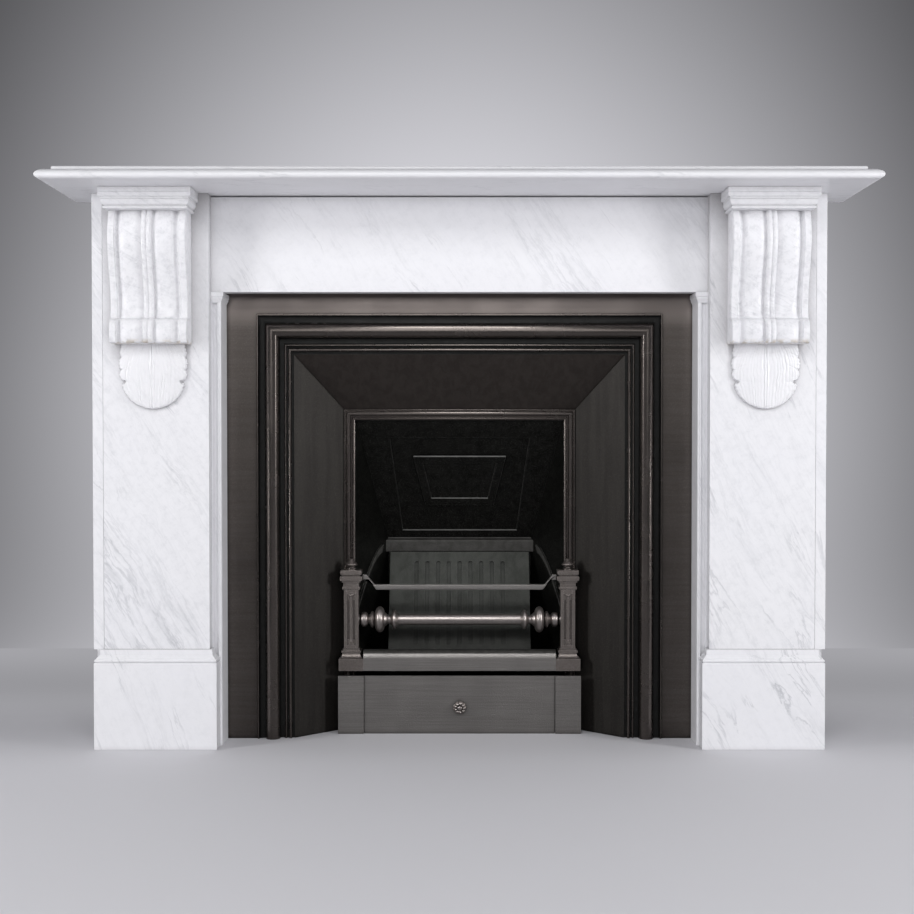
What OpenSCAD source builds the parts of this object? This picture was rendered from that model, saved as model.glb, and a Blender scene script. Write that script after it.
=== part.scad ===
// Corbelled marble chimneypiece with a splayed cast-iron register grate.
// Front faces -Y, +X is to the right, +Z is up, and the origin is under the middle of the whole.
// Inside this file a depth is measured from the face of the jambs: negative is in front of it.

/* [Marble surround] */
// Clear width of the opening between the slips
opening_w = 914; // [850:2:1200]
// Clear height of the opening under the frieze
opening_h = 872; // [850:2:1100]
// Height of the frieze
frieze_h = 184; // [150:1:260]
// Width of a jamb face slab
jamb_w = 201.5; // [190:0.5:260]
// Thickness of the face slabs
slab_t = 28; // [20:1:40]
// Thickness of the outer return slabs
return_t = 20; // [15:1:30]
// Distance from the jamb face back to the wall
wall_depth = 103; // [90:1:160]
// How far the frieze runs in behind each jamb
frieze_lap = 40; // [20:1:80]
// Open bed joint between the frieze and the shelf
bed_joint = 2.5; // [1:0.5:4]

/* [Shelf] */
// How far the shelf runs past the jambs at each end
shelf_end = 61.5; // [40:0.5:90]
// How far the shelf stands forward of the jamb face
shelf_front = 161; // [140:1:200]
// Thickness of the shelf
shelf_t = 26; // [24:1:34]
// Height of the small bead along the top edge of the shelf
shelf_bead = 7; // [5:0.5:8]
// How far the shelf underside is set back from the nose
shelf_under = 10; // [6:1:14]

/* [Foot blocks] */
// Height of a foot block
foot_h = 190; // [150:1:240]
// Height of the moulding along the top of a foot block
foot_moulding_h = 25; // [18:1:32]
// How far a foot block stands forward of the jamb face
foot_proud = 12; // [10:1:20]
// Gap from the opening to the inner end of a foot block
foot_inner = 4; // [2:1:8]

/* [Slips] */
// Visible width of a slip
slip_w = 18.5; // [16:0.5:30]
// Height of the small cap on a slip
slip_cap_h = 20; // [14:1:28]
// How far the cap of a slip stands out
slip_cap_proud = 5; // [3:0.5:8]

/* [Corbels] */
// Width of a corbel
corbel_w = 145; // [120:1:180]
// Height of a corbel
corbel_h = 246; // [200:1:300]
// Width of the cap over a corbel
corbel_cap_w = 171; // [150:1:186]
// How far the cap over a corbel stands forward
corbel_cap_proud = 78; // [74:1:110]
// Height of the square part of the cap
abacus_h = 18.5; // [14:0.5:24]
// Height of the moulding under the square part
neck_h = 21.5; // [16:0.5:28]
// Width of the leaf under a corbel
leaf_w = 130; // [100:1:160]
// Height of the leaf under a corbel
leaf_h = 122; // [100:1:160]
// Greatest relief of the leaf
leaf_relief = 13; // [8:1:18]

/* [Iron front] */
// How far the front plate runs behind each slip
plate_lap = 25.5; // [15:0.5:40]
// Height of the front plate
plate_rise = 73; // [20:1:100]
// Thickness of the front plate
plate_t = 8; // [5:1:12]
// Flat margin between a slip and the raised frame
plate_margin = 59; // [40:1:90]
// Flat margin between the frieze and the raised frame
plate_margin_top = 36; // [20:1:60]
// Width of the raised frame on its legs
frame_w = 72.5; // [60:0.5:90]
// Height of the raised frame along its head
frame_head_h = 79; // [62:0.5:96]
// Width that the splayed cheeks take on each side
splay_w = 91; // [60:1:120]
// Height that the splayed hood takes
splay_h = 106; // [70:1:140]
// Depth of the splay from the plate to the fire opening
splay_depth = 85; // [60:1:110]
// Thickness of the cast panels
panel_t = 8; // [5:1:10]
// Width of the beaded frame round the fire opening
bead_frame_w = 22; // [18:1:30]
// Depth of the beaded frame
bead_frame_d = 15; // [12:1:20]

/* [Fire chamber] */
// Depth of the fire chamber behind the beaded frame
chamber_depth = 106; // [90:1:140]
// How much each side wall closes in towards the back
chamber_taper = 62.5; // [50:0.5:70]
// Height of the ledge across the back
ledge_z = 353; // [340:1:380]
// Height of the ledge band
ledge_h = 24; // [18:1:30]
// Width of the raised rim of the damper flap
flap_rim = 16; // [10:1:20]
// Width of a groove in the fireback
flute_w = 10; // [6:1:14]
// Distance from groove to groove in the fireback
flute_pitch = 22.5; // [18:0.5:30]
// Number of grooves in the fireback
flute_count = 9; // [3:2:9]

/* [Grate] */
// Height of the ash cover
ash_cover_h = 116; // [90:1:122]
// Gap between the ash cover and the bottom bar
ash_gap = 10; // [4:1:14]
// Width of a pilaster strip at the ends of the ash cover
ash_strip_w = 51; // [40:1:60]
// Width of a post base
post_base_w = 49; // [44:1:56]
// Width of a post shaft
post_shaft_w = 29; // [24:1:34]
// Height of a post shaft
post_shaft_h = 119; // [100:1:150]
// Width of a post cap
post_cap_w = 44; // [40:1:52]
// Depth of a post base
post_d = 41; // [36:1:50]
// Height of the bottom bar
bottom_bar_h = 41; // [34:1:50]
// Diameter of the plain part of the roller bar
roller_d = 23; // [20:1:32]
// Diameter of the knob on the ash cover
knob_d = 27; // [18:1:32]

/* [Hidden] */
$fn = 48;
eps = 1;
fit_gap = 0.3;
marble = "whitesmoke";
iron = "dimgray";
arc_steps = 8;

// Widths, as distances out from the centre line
opening_x = opening_w / 2;
jamb_in_x = opening_x + slip_w;
jamb_out_x = jamb_in_x + jamb_w;
return_out_x = jamb_out_x + return_t;
slip_back_w = 5;
frame_out_x = opening_x - plate_margin;
frame_in_x = frame_out_x - frame_w;
fire_out_x = frame_in_x - splay_w;
fire_x = fire_out_x - bead_frame_w;
chamber_back_x = fire_x - chamber_taper;
corbel_x = (jamb_in_x + jamb_out_x) / 2 + 4.25;

// Heights above the floor
soffit_z = opening_h + frieze_h;
frame_out_z = opening_h - plate_margin_top;
frame_in_z = frame_out_z - frame_head_h;
fire_out_z = frame_in_z - splay_h;
fire_z = fire_out_z - bead_frame_w;
corbel_top_z = soffit_z - abacus_h - neck_h;
corbel_z = corbel_top_z - corbel_h;
bar_z = ash_cover_h + ash_gap;

// Depths behind the jamb face
plate_y = wall_depth - plate_t;
splay_y = plate_y + 3;
fire_y = splay_y + splay_depth;
splay_back = panel_t + 3;
bead_y = fire_y - 4;
chamber_y = bead_y + bead_frame_d;
back_y = chamber_y + chamber_depth;
rear_y = back_y + panel_t;
mid_y = (rear_y - shelf_front) / 2;
grate_y = bead_y - post_d;
post_y = bead_y - post_d / 2;

// Leaning panel at the back of the chamber, from its top corner down to the ledge
throat_y = chamber_y + 11;
throat_z = fire_z - 22;
panel_foot_y = back_y - 3;
panel_foot_z = ledge_z + ledge_h + 5;
lean = atan((panel_foot_y - throat_y) / (throat_z - panel_foot_z));
panel_len = norm([panel_foot_y - throat_y, throat_z - panel_foot_z]);

// Sloping fireback, from its foot on the bottom bar up to the ledge
fireback_x = chamber_back_x - 5;
bar_shelf_t = 8;
fireback_foot_z = bar_z + bar_shelf_t + panel_t / 2;
fireback_foot_y = bead_y - 5;
fireback_rise = ledge_z - fireback_foot_z;
fireback_lean = atan((back_y - panel_t - 6 - fireback_foot_y) / fireback_rise);
fireback_len = fireback_rise / cos(fireback_lean);

function arc(c, rx, ry, from, to, n = arc_steps) =
    [for (i = [0:n]) let (a = from + (to - from) * i / n) [c[0] + rx * cos(a), c[1] + ry * sin(a)]];
function flip(points) = [for (i = [len(points) - 1:-1:0]) points[i]];
function ease(t) = (1 - cos(180 * t)) / 2;
function bezier(a, b, c, n = arc_steps) =
    [for (i = [0:n]) let (t = i / n) (1 - t) * (1 - t) * a + 2 * t * (1 - t) * b + t * t * c];

// A block from one corner to the other
module block(a, b) {
    translate(a) cube(b - a);
}

// An outline in (Y, Z) run along X, centred
module run_x(length, outline) {
    rotate([90, 0, 90]) linear_extrude(length, center = true) polygon(outline);
}

// An outline in (X, Z) run along Y from the front to the back
module run_y(front, back, outline) {
    translate([0, back, 0]) rotate([90, 0, 0]) linear_extrude(back - front) polygon(outline);
}

// A pair keeps one shape: the left one is the right one mirrored
module on_side(side) {
    mirror([side < 0 ? 1 : 0, 0, 0]) children();
}

module in_place() {
    translate([0, -mid_y, 0]) children();
}

// A moulding that returns round both ends of a block. The profile is a list of [inset, height],
// and near or far set to 0 leaves that end square.
module returned(width, front, back, profile, near = 1, far = 1) {
    last = len(profile) - 1;
    front_outline = concat([for (p = profile) [front + p[0], p[1]]],
        [[back, profile[last][1]], [back, profile[0][1]]]);
    end_outline = concat([for (p = profile) [width / 2 - far * p[0], p[1]]],
        [for (p = flip(profile)) [-width / 2 + near * p[0], p[1]]]);
    intersection() {
        run_x(width, front_outline);
        run_y(front, back, end_outline);
    }
}

// A moulding that goes up one side, across the head and down the other, with mitred corners.
// The profile is a list of [distance outwards, depth], and k stretches it across the head.
module surround(profile, x_in, z_in, k = 1) {
    reach = max([for (p = profile) p[0]]);
    front = min([for (p = profile) p[1]]) - eps;
    back = max([for (p = profile) p[1]]) + eps;
    top = z_in + k * reach;
    for (side = [-1, 1]) on_side(side) intersection() {
        linear_extrude(top) polygon([for (p = profile) [x_in + p[0], p[1]]]);
        run_y(front, back, [[x_in, -eps], [x_in, z_in], [x_in + reach, top],
            [x_in + reach + eps, top], [x_in + reach + eps, -eps]]);
    }
    intersection() {
        run_x(2 * (x_in + reach), [for (p = profile) [p[1], z_in + k * p[0]]]);
        run_y(front, back, [[-x_in, z_in], [x_in, z_in], [x_in + reach, top], [-x_in - reach, top]]);
    }
}

// ---- Marble ----

// Thumb moulding with a small bead above it, from the underside up
function shelf_edge() = let (nose = shelf_t - shelf_bead, tip = nose * 0.37)
    concat(arc([shelf_under, tip], shelf_under, tip, 270, 180),
        arc([23, tip], 23, nose - tip, 172, 94),
        [[24, nose]],
        arc([24 + shelf_bead / 2, nose + shelf_bead / 2], shelf_bead / 2, shelf_bead / 2, 225, 90, 5));

module shelf() {
    color(marble) in_place() translate([0, 0, soffit_z])
        returned(2 * (return_out_x + shelf_end), -shelf_front, wall_depth, shelf_edge());
}

module frieze() {
    half = jamb_in_x + frieze_lap;
    color(marble) in_place()
        block([-half, slab_t, opening_h], [half, 2 * slab_t, soffit_z - bed_joint]);
}

module jamb(side) {
    color(marble) in_place() on_side(side)
        block([jamb_in_x, 0, foot_h], [jamb_out_x, slab_t, soffit_z]);
}
module jamb_left() { jamb(-1); }
module jamb_right() { jamb(1); }

// The return slab stands on the floor behind the foot block
module jamb_return(side) {
    outline = [[slab_t, 0], [wall_depth, 0], [wall_depth, soffit_z], [0, soffit_z], [0, foot_h],
        [slab_t, foot_h]];
    color(marble) in_place() on_side(side)
        translate([jamb_out_x + return_t / 2, 0, 0]) run_x(return_t, outline);
}
module jamb_return_left() { jamb_return(-1); }
module jamb_return_right() { jamb_return(1); }

// Plain block, then a fillet, a hollow and a small bead up to the jamb
function foot_edge() = let (z = foot_h - foot_moulding_h, h = foot_moulding_h, p = foot_proud)
    concat([[0, 0], [0, z + h * 0.16], [p * 0.04, z + h * 0.16]],
        [for (i = [0:arc_steps]) let (t = i / arc_steps)
            [p * (0.06 + 0.6 * ease(t)), z + h * (0.2 + 0.5 * t)]],
        [[p * 0.8, z + h * 0.74]],
        arc([p * 0.98, z + h * 0.87], p * 0.22, h * 0.13, 200, 90, 5));

module foot_block(side) {
    width = return_out_x - 3 - opening_x - foot_inner;
    color(marble) in_place() on_side(side)
        translate([opening_x + foot_inner + width / 2, 0, 0])
            returned(width, -foot_proud, slab_t, foot_edge());
}
module foot_block_left() { foot_block(-1); }
module foot_block_right() { foot_block(1); }

// Plan of a slip: a bead on the inner corner and a hollow running back under the jamb face
function slip_plan() = let (bead = slip_w * 0.18, y = slab_t)
    concat([[jamb_in_x + slip_back_w, y], [jamb_in_x, y]],
        arc([jamb_in_x - (slip_w - 2 * bead) / 2, y], (slip_w - 2 * bead) / 2, bead * 2.2, 0, 180),
        arc([opening_x + bead, y + bead], bead, bead, 300, 180, 6),
        [[opening_x, plate_y], [jamb_in_x + slip_back_w, plate_y]]);

// Small cap: cyma, fillet and a flat top that carries the frieze
function slip_cap_edge() = let (p = slip_cap_proud, h = slip_cap_h)
    concat([for (i = [0:arc_steps]) let (t = i / arc_steps) [p * (1 - 0.7 * ease(t)), h * 0.5 * t]],
        [[p * 0.3, h * 0.56], [0, h * 0.6], [0, h * 0.94], [p * 0.15, h]]);

module slip(side) {
    width = jamb_in_x - opening_x + slip_cap_proud;
    color(marble) in_place() on_side(side) union() {
        linear_extrude(opening_h) polygon(slip_plan());
        translate([opening_x - slip_cap_proud + width / 2, 0, opening_h - slip_cap_h])
            returned(width, slab_t - slip_cap_proud, plate_y, slip_cap_edge(), 1, 0);
    }
}
module slip_left() { slip(-1); }
module slip_right() { slip(1); }

// Square abacus over a cyma that draws in to the width of the corbel
function cap_edge() = let (draw = (corbel_cap_w - corbel_w) / 2, h = neck_h)
    concat([[draw, 0], [draw * 0.92, h * 0.14]],
        arc([draw * 0.86, h * 0.28], draw * 0.14, h * 0.14, 270, 180, 4),
        [for (i = [0:arc_steps]) let (t = i / arc_steps)
            [draw * (0.72 - 0.5 * ease(t)), h * (0.3 + 0.36 * t)]],
        [[draw * 0.16, h * 0.7], [draw * 0.12, h * 0.94], [draw * 0.3, h]],
        [[draw * 0.04, h + 1.6], [0, h + 3], [0, h + abacus_h]]);

module corbel_cap(side) {
    color(marble) in_place() on_side(side)
        translate([corbel_x, 0, corbel_top_z])
            returned(corbel_cap_w, -corbel_cap_proud, 0, cap_edge());
}
module corbel_cap_left() { corbel_cap(-1); }
module corbel_cap_right() { corbel_cap(1); }

// Side profile of the corbel: a roll at its foot, a quirk, a waist and a long swelling scroll
roll_h = 46;
waist_z = 66;
swell_z = corbel_h - 48;
corbel_waist = 34;
corbel_swell = 60;
corbel_head = 48;
corbel_roll = 50;
function corbel_depth(z) =
    z <= roll_h ? corbel_roll - 12 + 12 * sqrt(max(0, 1 - pow((z - roll_h / 2 + 3) / (roll_h / 2 + 3), 2)))
    : z <= waist_z ? corbel_waist + 3 * (1 - ease((z - roll_h) / (waist_z - roll_h)))
    : z <= swell_z ? corbel_waist + (corbel_swell - corbel_waist) * ease((z - waist_z) / (swell_z - waist_z))
    : corbel_swell - (corbel_swell - corbel_head) * (1 - cos(90 * (z - swell_z) / (corbel_h - swell_z)));

// Cross section of the corbel: middle rib of two beads, a roll, a deep flute and a flat flange
rib_w = 9.5;
flange_w = 12;
flute_in = corbel_w / 2 - flange_w - 14;
flute_deep = 5.2;
function corbel_relief(x) = let (r = rib_w, f = corbel_w / 2 - flange_w)
    x <= r ? 2.5 + 3 * sqrt(max(0, 1 - pow((x - r / 2) / (r / 2), 2)))
    : x <= flute_in ? -3 + 4.5 * sin(180 * (x - r) / (flute_in - r) * 0.86)
    : x <= f ? -1.5 - flute_deep * sin(180 * pow((x - flute_in) / (f - flute_in), 1.5))
    : 1;
corbel_half = concat([for (i = [0:4]) rib_w * i / 4],
    [for (i = [0:6]) rib_w + 0.6 + (flute_in - rib_w - 1.2) * i / 6],
    [for (i = [0:4]) flute_in + (corbel_w / 2 - flange_w - flute_in) * i / 4],
    [corbel_w / 2 - flange_w + 1, corbel_w / 2]);
corbel_columns = concat([for (i = [len(corbel_half) - 1:-1:1]) -corbel_half[i]], corbel_half);
corbel_rows = concat([for (i = [0:7]) roll_h * i / 7],
    [for (i = [0:21]) roll_h + 1.5 + (corbel_h - roll_h - 1.5) * i / 21]);

// A slab with a sculpted front: front(row, column) points over a flat back at depth 0
module relief_slab(front) {
    rows = len(front);
    cols = len(front[0]);
    flat = [for (row = front) for (p = row) p];
    rim = concat([for (j = [0:cols - 1]) [0, j]], [for (i = [1:rows - 1]) [i, cols - 1]],
        [for (j = [cols - 2:-1:0]) [rows - 1, j]], [for (i = [rows - 2:-1:1]) [i, 0]]);
    n = len(rim);
    back = [for (r = rim) [front[r[0]][r[1]][0], 0, front[r[0]][r[1]][2]]];
    first = rows * cols;
    cells = [for (i = [0:rows - 2]) for (j = [0:cols - 2]) let (a = i * cols + j)
        each [[a, a + cols, a + 1], [a + 1, a + cols, a + cols + 1]]];
    walls = [for (k = [0:n - 1]) let (m = (k + 1) % n,
            a = rim[k][0] * cols + rim[k][1], b = rim[m][0] * cols + rim[m][1])
        each [[a, b, first + k], [b, first + m, first + k]]];
    function right_at(i) = first + cols - 1 + i;
    function left_at(i) = first + (2 * (cols - 1) + 2 * (rows - 1) - i) % n;
    foot = concat([left_at(1)], [for (j = [0:cols - 1]) first + j], [right_at(1)]);
    head = concat([right_at(rows - 2)], [for (j = [0:cols - 1]) right_at(rows - 1) + j],
        [left_at(rows - 2)]);
    strips = [for (i = [1:rows - 3]) [left_at(i), right_at(i), right_at(i + 1), left_at(i + 1)]];
    polyhedron(concat(flat, back), concat(cells, walls, [foot], strips, [head]), 6);
}

module corbel(side) {
    front = [for (z = corbel_rows) [for (x = corbel_columns)
        [x, -corbel_depth(z) - corbel_relief(abs(x)), z]]];
    color(marble) in_place() on_side(side)
        translate([corbel_x, 0, corbel_z]) relief_slab(front);
}
module corbel_left() { corbel(-1); }
module corbel_right() { corbel(1); }

// Acanthus leaf that hangs under the corbel: scalloped sides, an eye notch, then a round tip
// Outline of the leaf: share of the height down from the corbel, share of the half width
leaf_outline = [[0, 0.92], [0.11, 0.97], [0.16, 0.97], [0.2, 0.93], [0.24, 0.98], [0.3, 1], [0.36, 0.98],
    [0.4, 0.945], [0.45, 0.985], [0.53, 0.94], [0.58, 0.82], [0.62, 0.9], [0.69, 0.88], [0.75, 0.82],
    [0.81, 0.745], [0.87, 0.65], [0.92, 0.52], [0.96, 0.37], [1, 0.07]];
function leaf_half(t) = leaf_w / 2 * lookup(t, leaf_outline);
// Relief of the leaf, where u is 0 on the stem and 1 on the edge
function leaf_height(u, t) = leaf_relief * (0.35 + 0.5 * (1 - pow(u, 3)) * (1 - 0.5 * t)
    + 0.1 * cos(360 * u * 3.5) * (1 - u) + (u < 0.1 ? 0.1 : 0));
leaf_cols = 9;
leaf_rows = 28;
// Rows gather towards the tip
function leaf_step(t) = t < 0.7 ? t : 0.7 + 0.3 * sin(90 * (t - 0.7) / 0.3);

module corbel_leaf(side) {
    front = [for (i = [leaf_rows:-1:0]) let (t = leaf_step(i / leaf_rows))
        [for (j = [-leaf_cols:leaf_cols]) let (u = j / leaf_cols)
            [u * leaf_half(t), -leaf_height(abs(u), t), -leaf_h * t]]];
    color(marble) in_place() on_side(side)
        translate([corbel_x, 0, corbel_z]) relief_slab(front);
}
module corbel_leaf_left() { corbel_leaf(-1); }
module corbel_leaf_right() { corbel_leaf(1); }

// ---- Cast iron ----

// Three reeds, a groove, a torus, a hollow and an outer fillet, from the inner edge outwards
reed_w = 4.5;
torus_r = 15.5;
torus_gap = 11;
function frame_profile() = let (y = plate_y, torus_x = reed_w * 3 + torus_gap + torus_r, rim = 7)
    concat([[0, y + plate_t / 2]],
        [for (k = [0:2]) each arc([reed_w * (k + 0.5), y], reed_w / 2, reed_w / 2, 180, 360, 6)],
        [[reed_w * 3 + 0.5, y - 1], [torus_x - torus_r, y - 1.5]],
        arc([torus_x, y - 0.5], torus_r, torus_r, 180, 360, 14),
        arc([torus_x + torus_r + 1, y - 8], frame_w - rim - torus_x - torus_r - 1, 7, 90, 0, 6),
        [[frame_w - rim, y - 9], [frame_w - 1, y - 9], [frame_w, y - 8], [frame_w, y + plate_t / 2]]);

module front_plate() {
    half = opening_x + plate_lap;
    top = opening_h + plate_rise;
    color(iron) in_place() union() {
        run_y(plate_y, wall_depth, [[frame_in_x, 0], [half, 0], [half, top], [-half, top], [-half, 0],
            [-frame_in_x, 0], [-frame_in_x, frame_in_z], [frame_in_x, frame_in_z]]);
        surround(frame_profile(), frame_in_x, frame_in_z, frame_head_h / frame_w);
    }
}

// Mitre line between a cheek and the hood, and the region on either side of it
mitre_slope = splay_h / splay_w;
module cheek_region() {
    run_y(splay_y - eps, chamber_y + 2 * eps, [[fire_out_x - eps, -eps], [frame_in_x + eps, -eps],
        [frame_in_x + eps, frame_in_z + eps * mitre_slope],
        [fire_out_x - eps, fire_out_z - eps * mitre_slope]]);
}

module cheek(side) {
    color(iron) in_place() on_side(side) intersection() {
        linear_extrude(frame_in_z) polygon([[frame_in_x, splay_y], [frame_in_x, splay_y + splay_back],
            [fire_out_x, fire_y + splay_back], [fire_out_x, fire_y]]);
        cheek_region();
    }
}
module cheek_left() { cheek(-1); }
module cheek_right() { cheek(1); }

module hood() {
    color(iron) in_place() intersection() {
        run_x(2 * frame_in_x, [[splay_y, frame_in_z], [splay_y + splay_back, frame_in_z],
            [fire_y + splay_back, fire_out_z], [fire_y, fire_out_z]]);
        run_y(splay_y - eps, chamber_y + 2 * eps, [[-fire_out_x, fire_out_z], [fire_out_x, fire_out_z],
            [frame_in_x, frame_in_z], [-frame_in_x, frame_in_z]]);
    }
}

// Inner fillet, groove, bead and outer fillet, placed from the outer edge of the frame
bead_r = 4.7;
fillet_r = 1.4;
module bead_frame() {
    w = bead_frame_w;
    fillet_y = bead_y + 2 * fillet_r;
    profile = concat([[0, chamber_y]],
        arc([w - 18.6, fillet_y], fillet_r, fillet_r, 180, 360, 4),
        [[w - 16.8, bead_y + 2 * bead_r], [w - 14, bead_y + 2 * bead_r]],
        arc([w - 8.9, bead_y + bead_r], bead_r, bead_r, 180, 360, 8),
        [[w - 3.4, bead_y + 7]],
        arc([w - 1.5, fillet_y], fillet_r, fillet_r, 180, 360, 4),
        [[w, chamber_y]]);
    color(iron) in_place() surround(profile, fire_x, fire_z);
}

// Side outline of the chamber walls, which follows the leaning panel
module chamber_outline() {
    run_x(2 * fire_out_x, [[chamber_y, 0], [rear_y, 0], [rear_y, panel_foot_z],
        [throat_y + panel_t, throat_z + 4], [chamber_y + panel_t, fire_out_z], [chamber_y, fire_out_z]]);
}

wall_angle = atan(chamber_taper / chamber_depth);
module chamber_side(side) {
    t = panel_t / cos(wall_angle);
    x_rear = chamber_back_x - (rear_y - back_y) * tan(wall_angle);
    // Curved rib from the ledge down to the posts
    rib = bezier([chamber_depth - 8, ledge_z + 16], [chamber_depth * 0.6, ledge_z + 8], [6, ledge_z - 103]);
    rib_low = [for (p = flip(rib)) [p[0] - 6, p[1] - 16]];
    color(iron) in_place() on_side(side) union() {
        intersection() {
            linear_extrude(fire_out_z) polygon([[fire_x, chamber_y], [fire_x + t, chamber_y],
                [x_rear + t, rear_y], [x_rear, rear_y]]);
            chamber_outline();
        }
        intersection() {
            translate([fire_x, chamber_y, 0]) rotate([0, 0, wall_angle])
                translate([-5, 0, 0]) rotate([90, 0, 90])
                    linear_extrude(5 + panel_t / 2) polygon(concat(rib, rib_low));
            block([0, chamber_y, 0], [fire_out_x, back_y - 6, fire_z]);
        }
    }
}
module chamber_side_left() { chamber_side(-1); }
module chamber_side_right() { chamber_side(1); }

// Plan of the space between the side walls
module chamber_plan() {
    x_rear = chamber_back_x - (rear_y - back_y) * tan(wall_angle);
    linear_extrude(fire_out_z) polygon([[-fire_x, chamber_y], [fire_x, chamber_y],
        [x_rear, rear_y], [-x_rear, rear_y]]);
}

// Places its children on the leaning panel: X across, Z up the slope, -Y out of its face
module on_panel() {
    translate([0, panel_foot_y, panel_foot_z]) rotate([lean, 0, 0]) children();
}

// Half width of the leaning panel at a distance up its slope
function panel_half(s) = fire_x - (panel_foot_y - s * sin(lean) - chamber_y) * tan(wall_angle);
sunk_low = 18;
sunk_high = panel_len - 16;
flap_low = 77;
flap_high = panel_len - 55;
sunk_margin_low = 36;
sunk_margin_high = 59;
flap_margin = 98;

// Four corners of a shape on the panel, set in from its sides by one margin below and one above
function panel_shape(low, high, in_low, in_high) = [[-panel_half(low) + in_low, low],
    [panel_half(low) - in_low, low], [panel_half(high) - in_high, high],
    [-panel_half(high) + in_high, high]];

module chamber_back() {
    ledge_top = ledge_z + ledge_h;
    color(iron) in_place() difference() {
        intersection() {
            run_x(2 * fire_x, [[chamber_y, fire_z], [throat_y, throat_z], [panel_foot_y, panel_foot_z],
                [panel_foot_y - 7, ledge_top], [panel_foot_y - 7, ledge_z], [back_y, ledge_z], [back_y, 0],
                [rear_y, 0], [rear_y, panel_foot_z], [throat_y + panel_t, throat_z + 4],
                [chamber_y + panel_t, fire_out_z], [chamber_y, fire_out_z]]);
            chamber_plan();
        }
        on_panel() run_y(-eps, 3, panel_shape(sunk_low, sunk_high, sunk_margin_low, sunk_margin_high));
    }
}

// Loose flap in the middle of the leaning panel, with a raised rim
module damper_flap() {
    color(iron) in_place() on_panel() difference() {
        run_y(-3, 3, panel_shape(flap_low, flap_high, flap_margin, flap_margin));
        run_y(-3 - eps, 0, panel_shape(flap_low + flap_rim, flap_high - flap_rim,
            flap_margin + flap_rim, flap_margin + flap_rim));
    }
}

// Sloping plate with upright grooves that have round ends
module fireback() {
    groove_low = 42;
    groove_high = fireback_len - 26;
    color(iron) in_place() translate([0, fireback_foot_y, fireback_foot_z]) rotate([-fireback_lean, 0, 0])
        difference() {
            block([-fireback_x, 0, 0], [fireback_x, panel_t, fireback_len]);
            for (k = [-(flute_count - 1) / 2:(flute_count - 1) / 2]) translate([k * flute_pitch, 0, 0]) {
                block([-flute_w / 2, -eps, groove_low], [flute_w / 2, 3, groove_high]);
                for (z = [groove_low, groove_high]) translate([0, 3, z]) rotate([90, 0, 0])
                    cylinder(h = 3 + eps, d = flute_w);
            }
        }
}

// Bottom bar between the posts: moulded top edge, and a shelf behind that carries the fireback
bar_x = fire_out_x - 17 + post_base_w / 2 - post_base_w;
post_x = bar_x + post_base_w / 2;
module bottom_bar() {
    top = bar_z + bottom_bar_h;
    outline = concat([[grate_y + 3, bar_z], [grate_y + 3, top - 15], [grate_y + 1, top - 14]],
        arc([grate_y + 4, top - 9], 4, 4.5, 250, 110, 6),
        [[grate_y + 8, top - 4], [grate_y + 12, top], [grate_y + 24, top],
        [grate_y + 24, bar_z + bar_shelf_t],
        [bead_y + 18, bar_z + bar_shelf_t], [bead_y + 18, bar_z]]);
    color(iron) in_place() run_x(2 * bar_x, outline);
}

// Stack of square steps for the posts: each step is [half width, bottom, top]
module square_step(half, low, high) {
    block([-half, -half * post_d / post_base_w, low], [half, half * post_d / post_base_w, high]);
}

// A post is cut back where its outer corner would meet the splayed cheek
module splay_clearance() {
    linear_extrude(fire_out_z) polygon([[frame_in_x, splay_y - fit_gap], [frame_in_x, chamber_y],
        [fire_out_x, chamber_y], [fire_out_x, fire_y - fit_gap]]);
}

// The bell above a post base, in outline, as [distance out, height]
function post_bell(out, z) = bezier([out, z], [out - 7, z + 3], [out - 7, z + 12]);

module post_body() {
    base = post_base_w / 2;
    shaft = post_shaft_w / 2;
    cap = post_cap_w / 2;
    bell_z = bar_z + 24;
    shaft_z = bar_z + 44;
    neck_z = shaft_z + post_shaft_h;
    cap_z = neck_z + 18;
    difference() {
        union() {
            square_step(base, bar_z, bell_z);
            intersection() {
                run_x(2 * base, concat(post_bell(post_d / 2, bell_z),
                    flip([for (p = post_bell(post_d / 2, bell_z)) [-p[0], p[1]]])));
                run_y(-base, base, concat(post_bell(base, bell_z),
                    flip([for (p = post_bell(base, bell_z)) [-p[0], p[1]]])));
            }
            square_step(base - 5, bar_z + 36, bar_z + 40);
            square_step(shaft + 2, bar_z + 40, shaft_z);
            square_step(shaft, shaft_z, neck_z);
            square_step(shaft + 3, neck_z, neck_z + 5);
            square_step(shaft + 1, neck_z + 5, cap_z - 4);
            square_step(shaft + 4, cap_z - 4, cap_z);
            square_step(cap, cap_z, cap_z + 8);
            square_step(cap - 4, cap_z + 8, cap_z + 12);
            square_step(cap - 1, cap_z + 12, cap_z + 20);
        }
        // Two flutes up the front of the shaft
        for (x = [-5.5, 5.5]) translate([x, -shaft * post_d / post_base_w, 0])
            block([-2.5, -eps, shaft_z + 18], [2.5, 2, neck_z - 22]);
    }
    translate([0, 0, cap_z + 20]) rotate_extrude()
        polygon([[0, 0], [9, 0], [9, 3], [6, 5], [6, 7], [11, 9], [12, 11], [11, 13], [6, 18], [3, 22],
            [0, 23]]);
}

module post(side) {
    color(iron) in_place() on_side(side) difference() {
        translate([post_x, post_y, 0]) post_body();
        splay_clearance();
    }
}
module post_left() { post(-1); }
module post_right() { post(1); }

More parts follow.
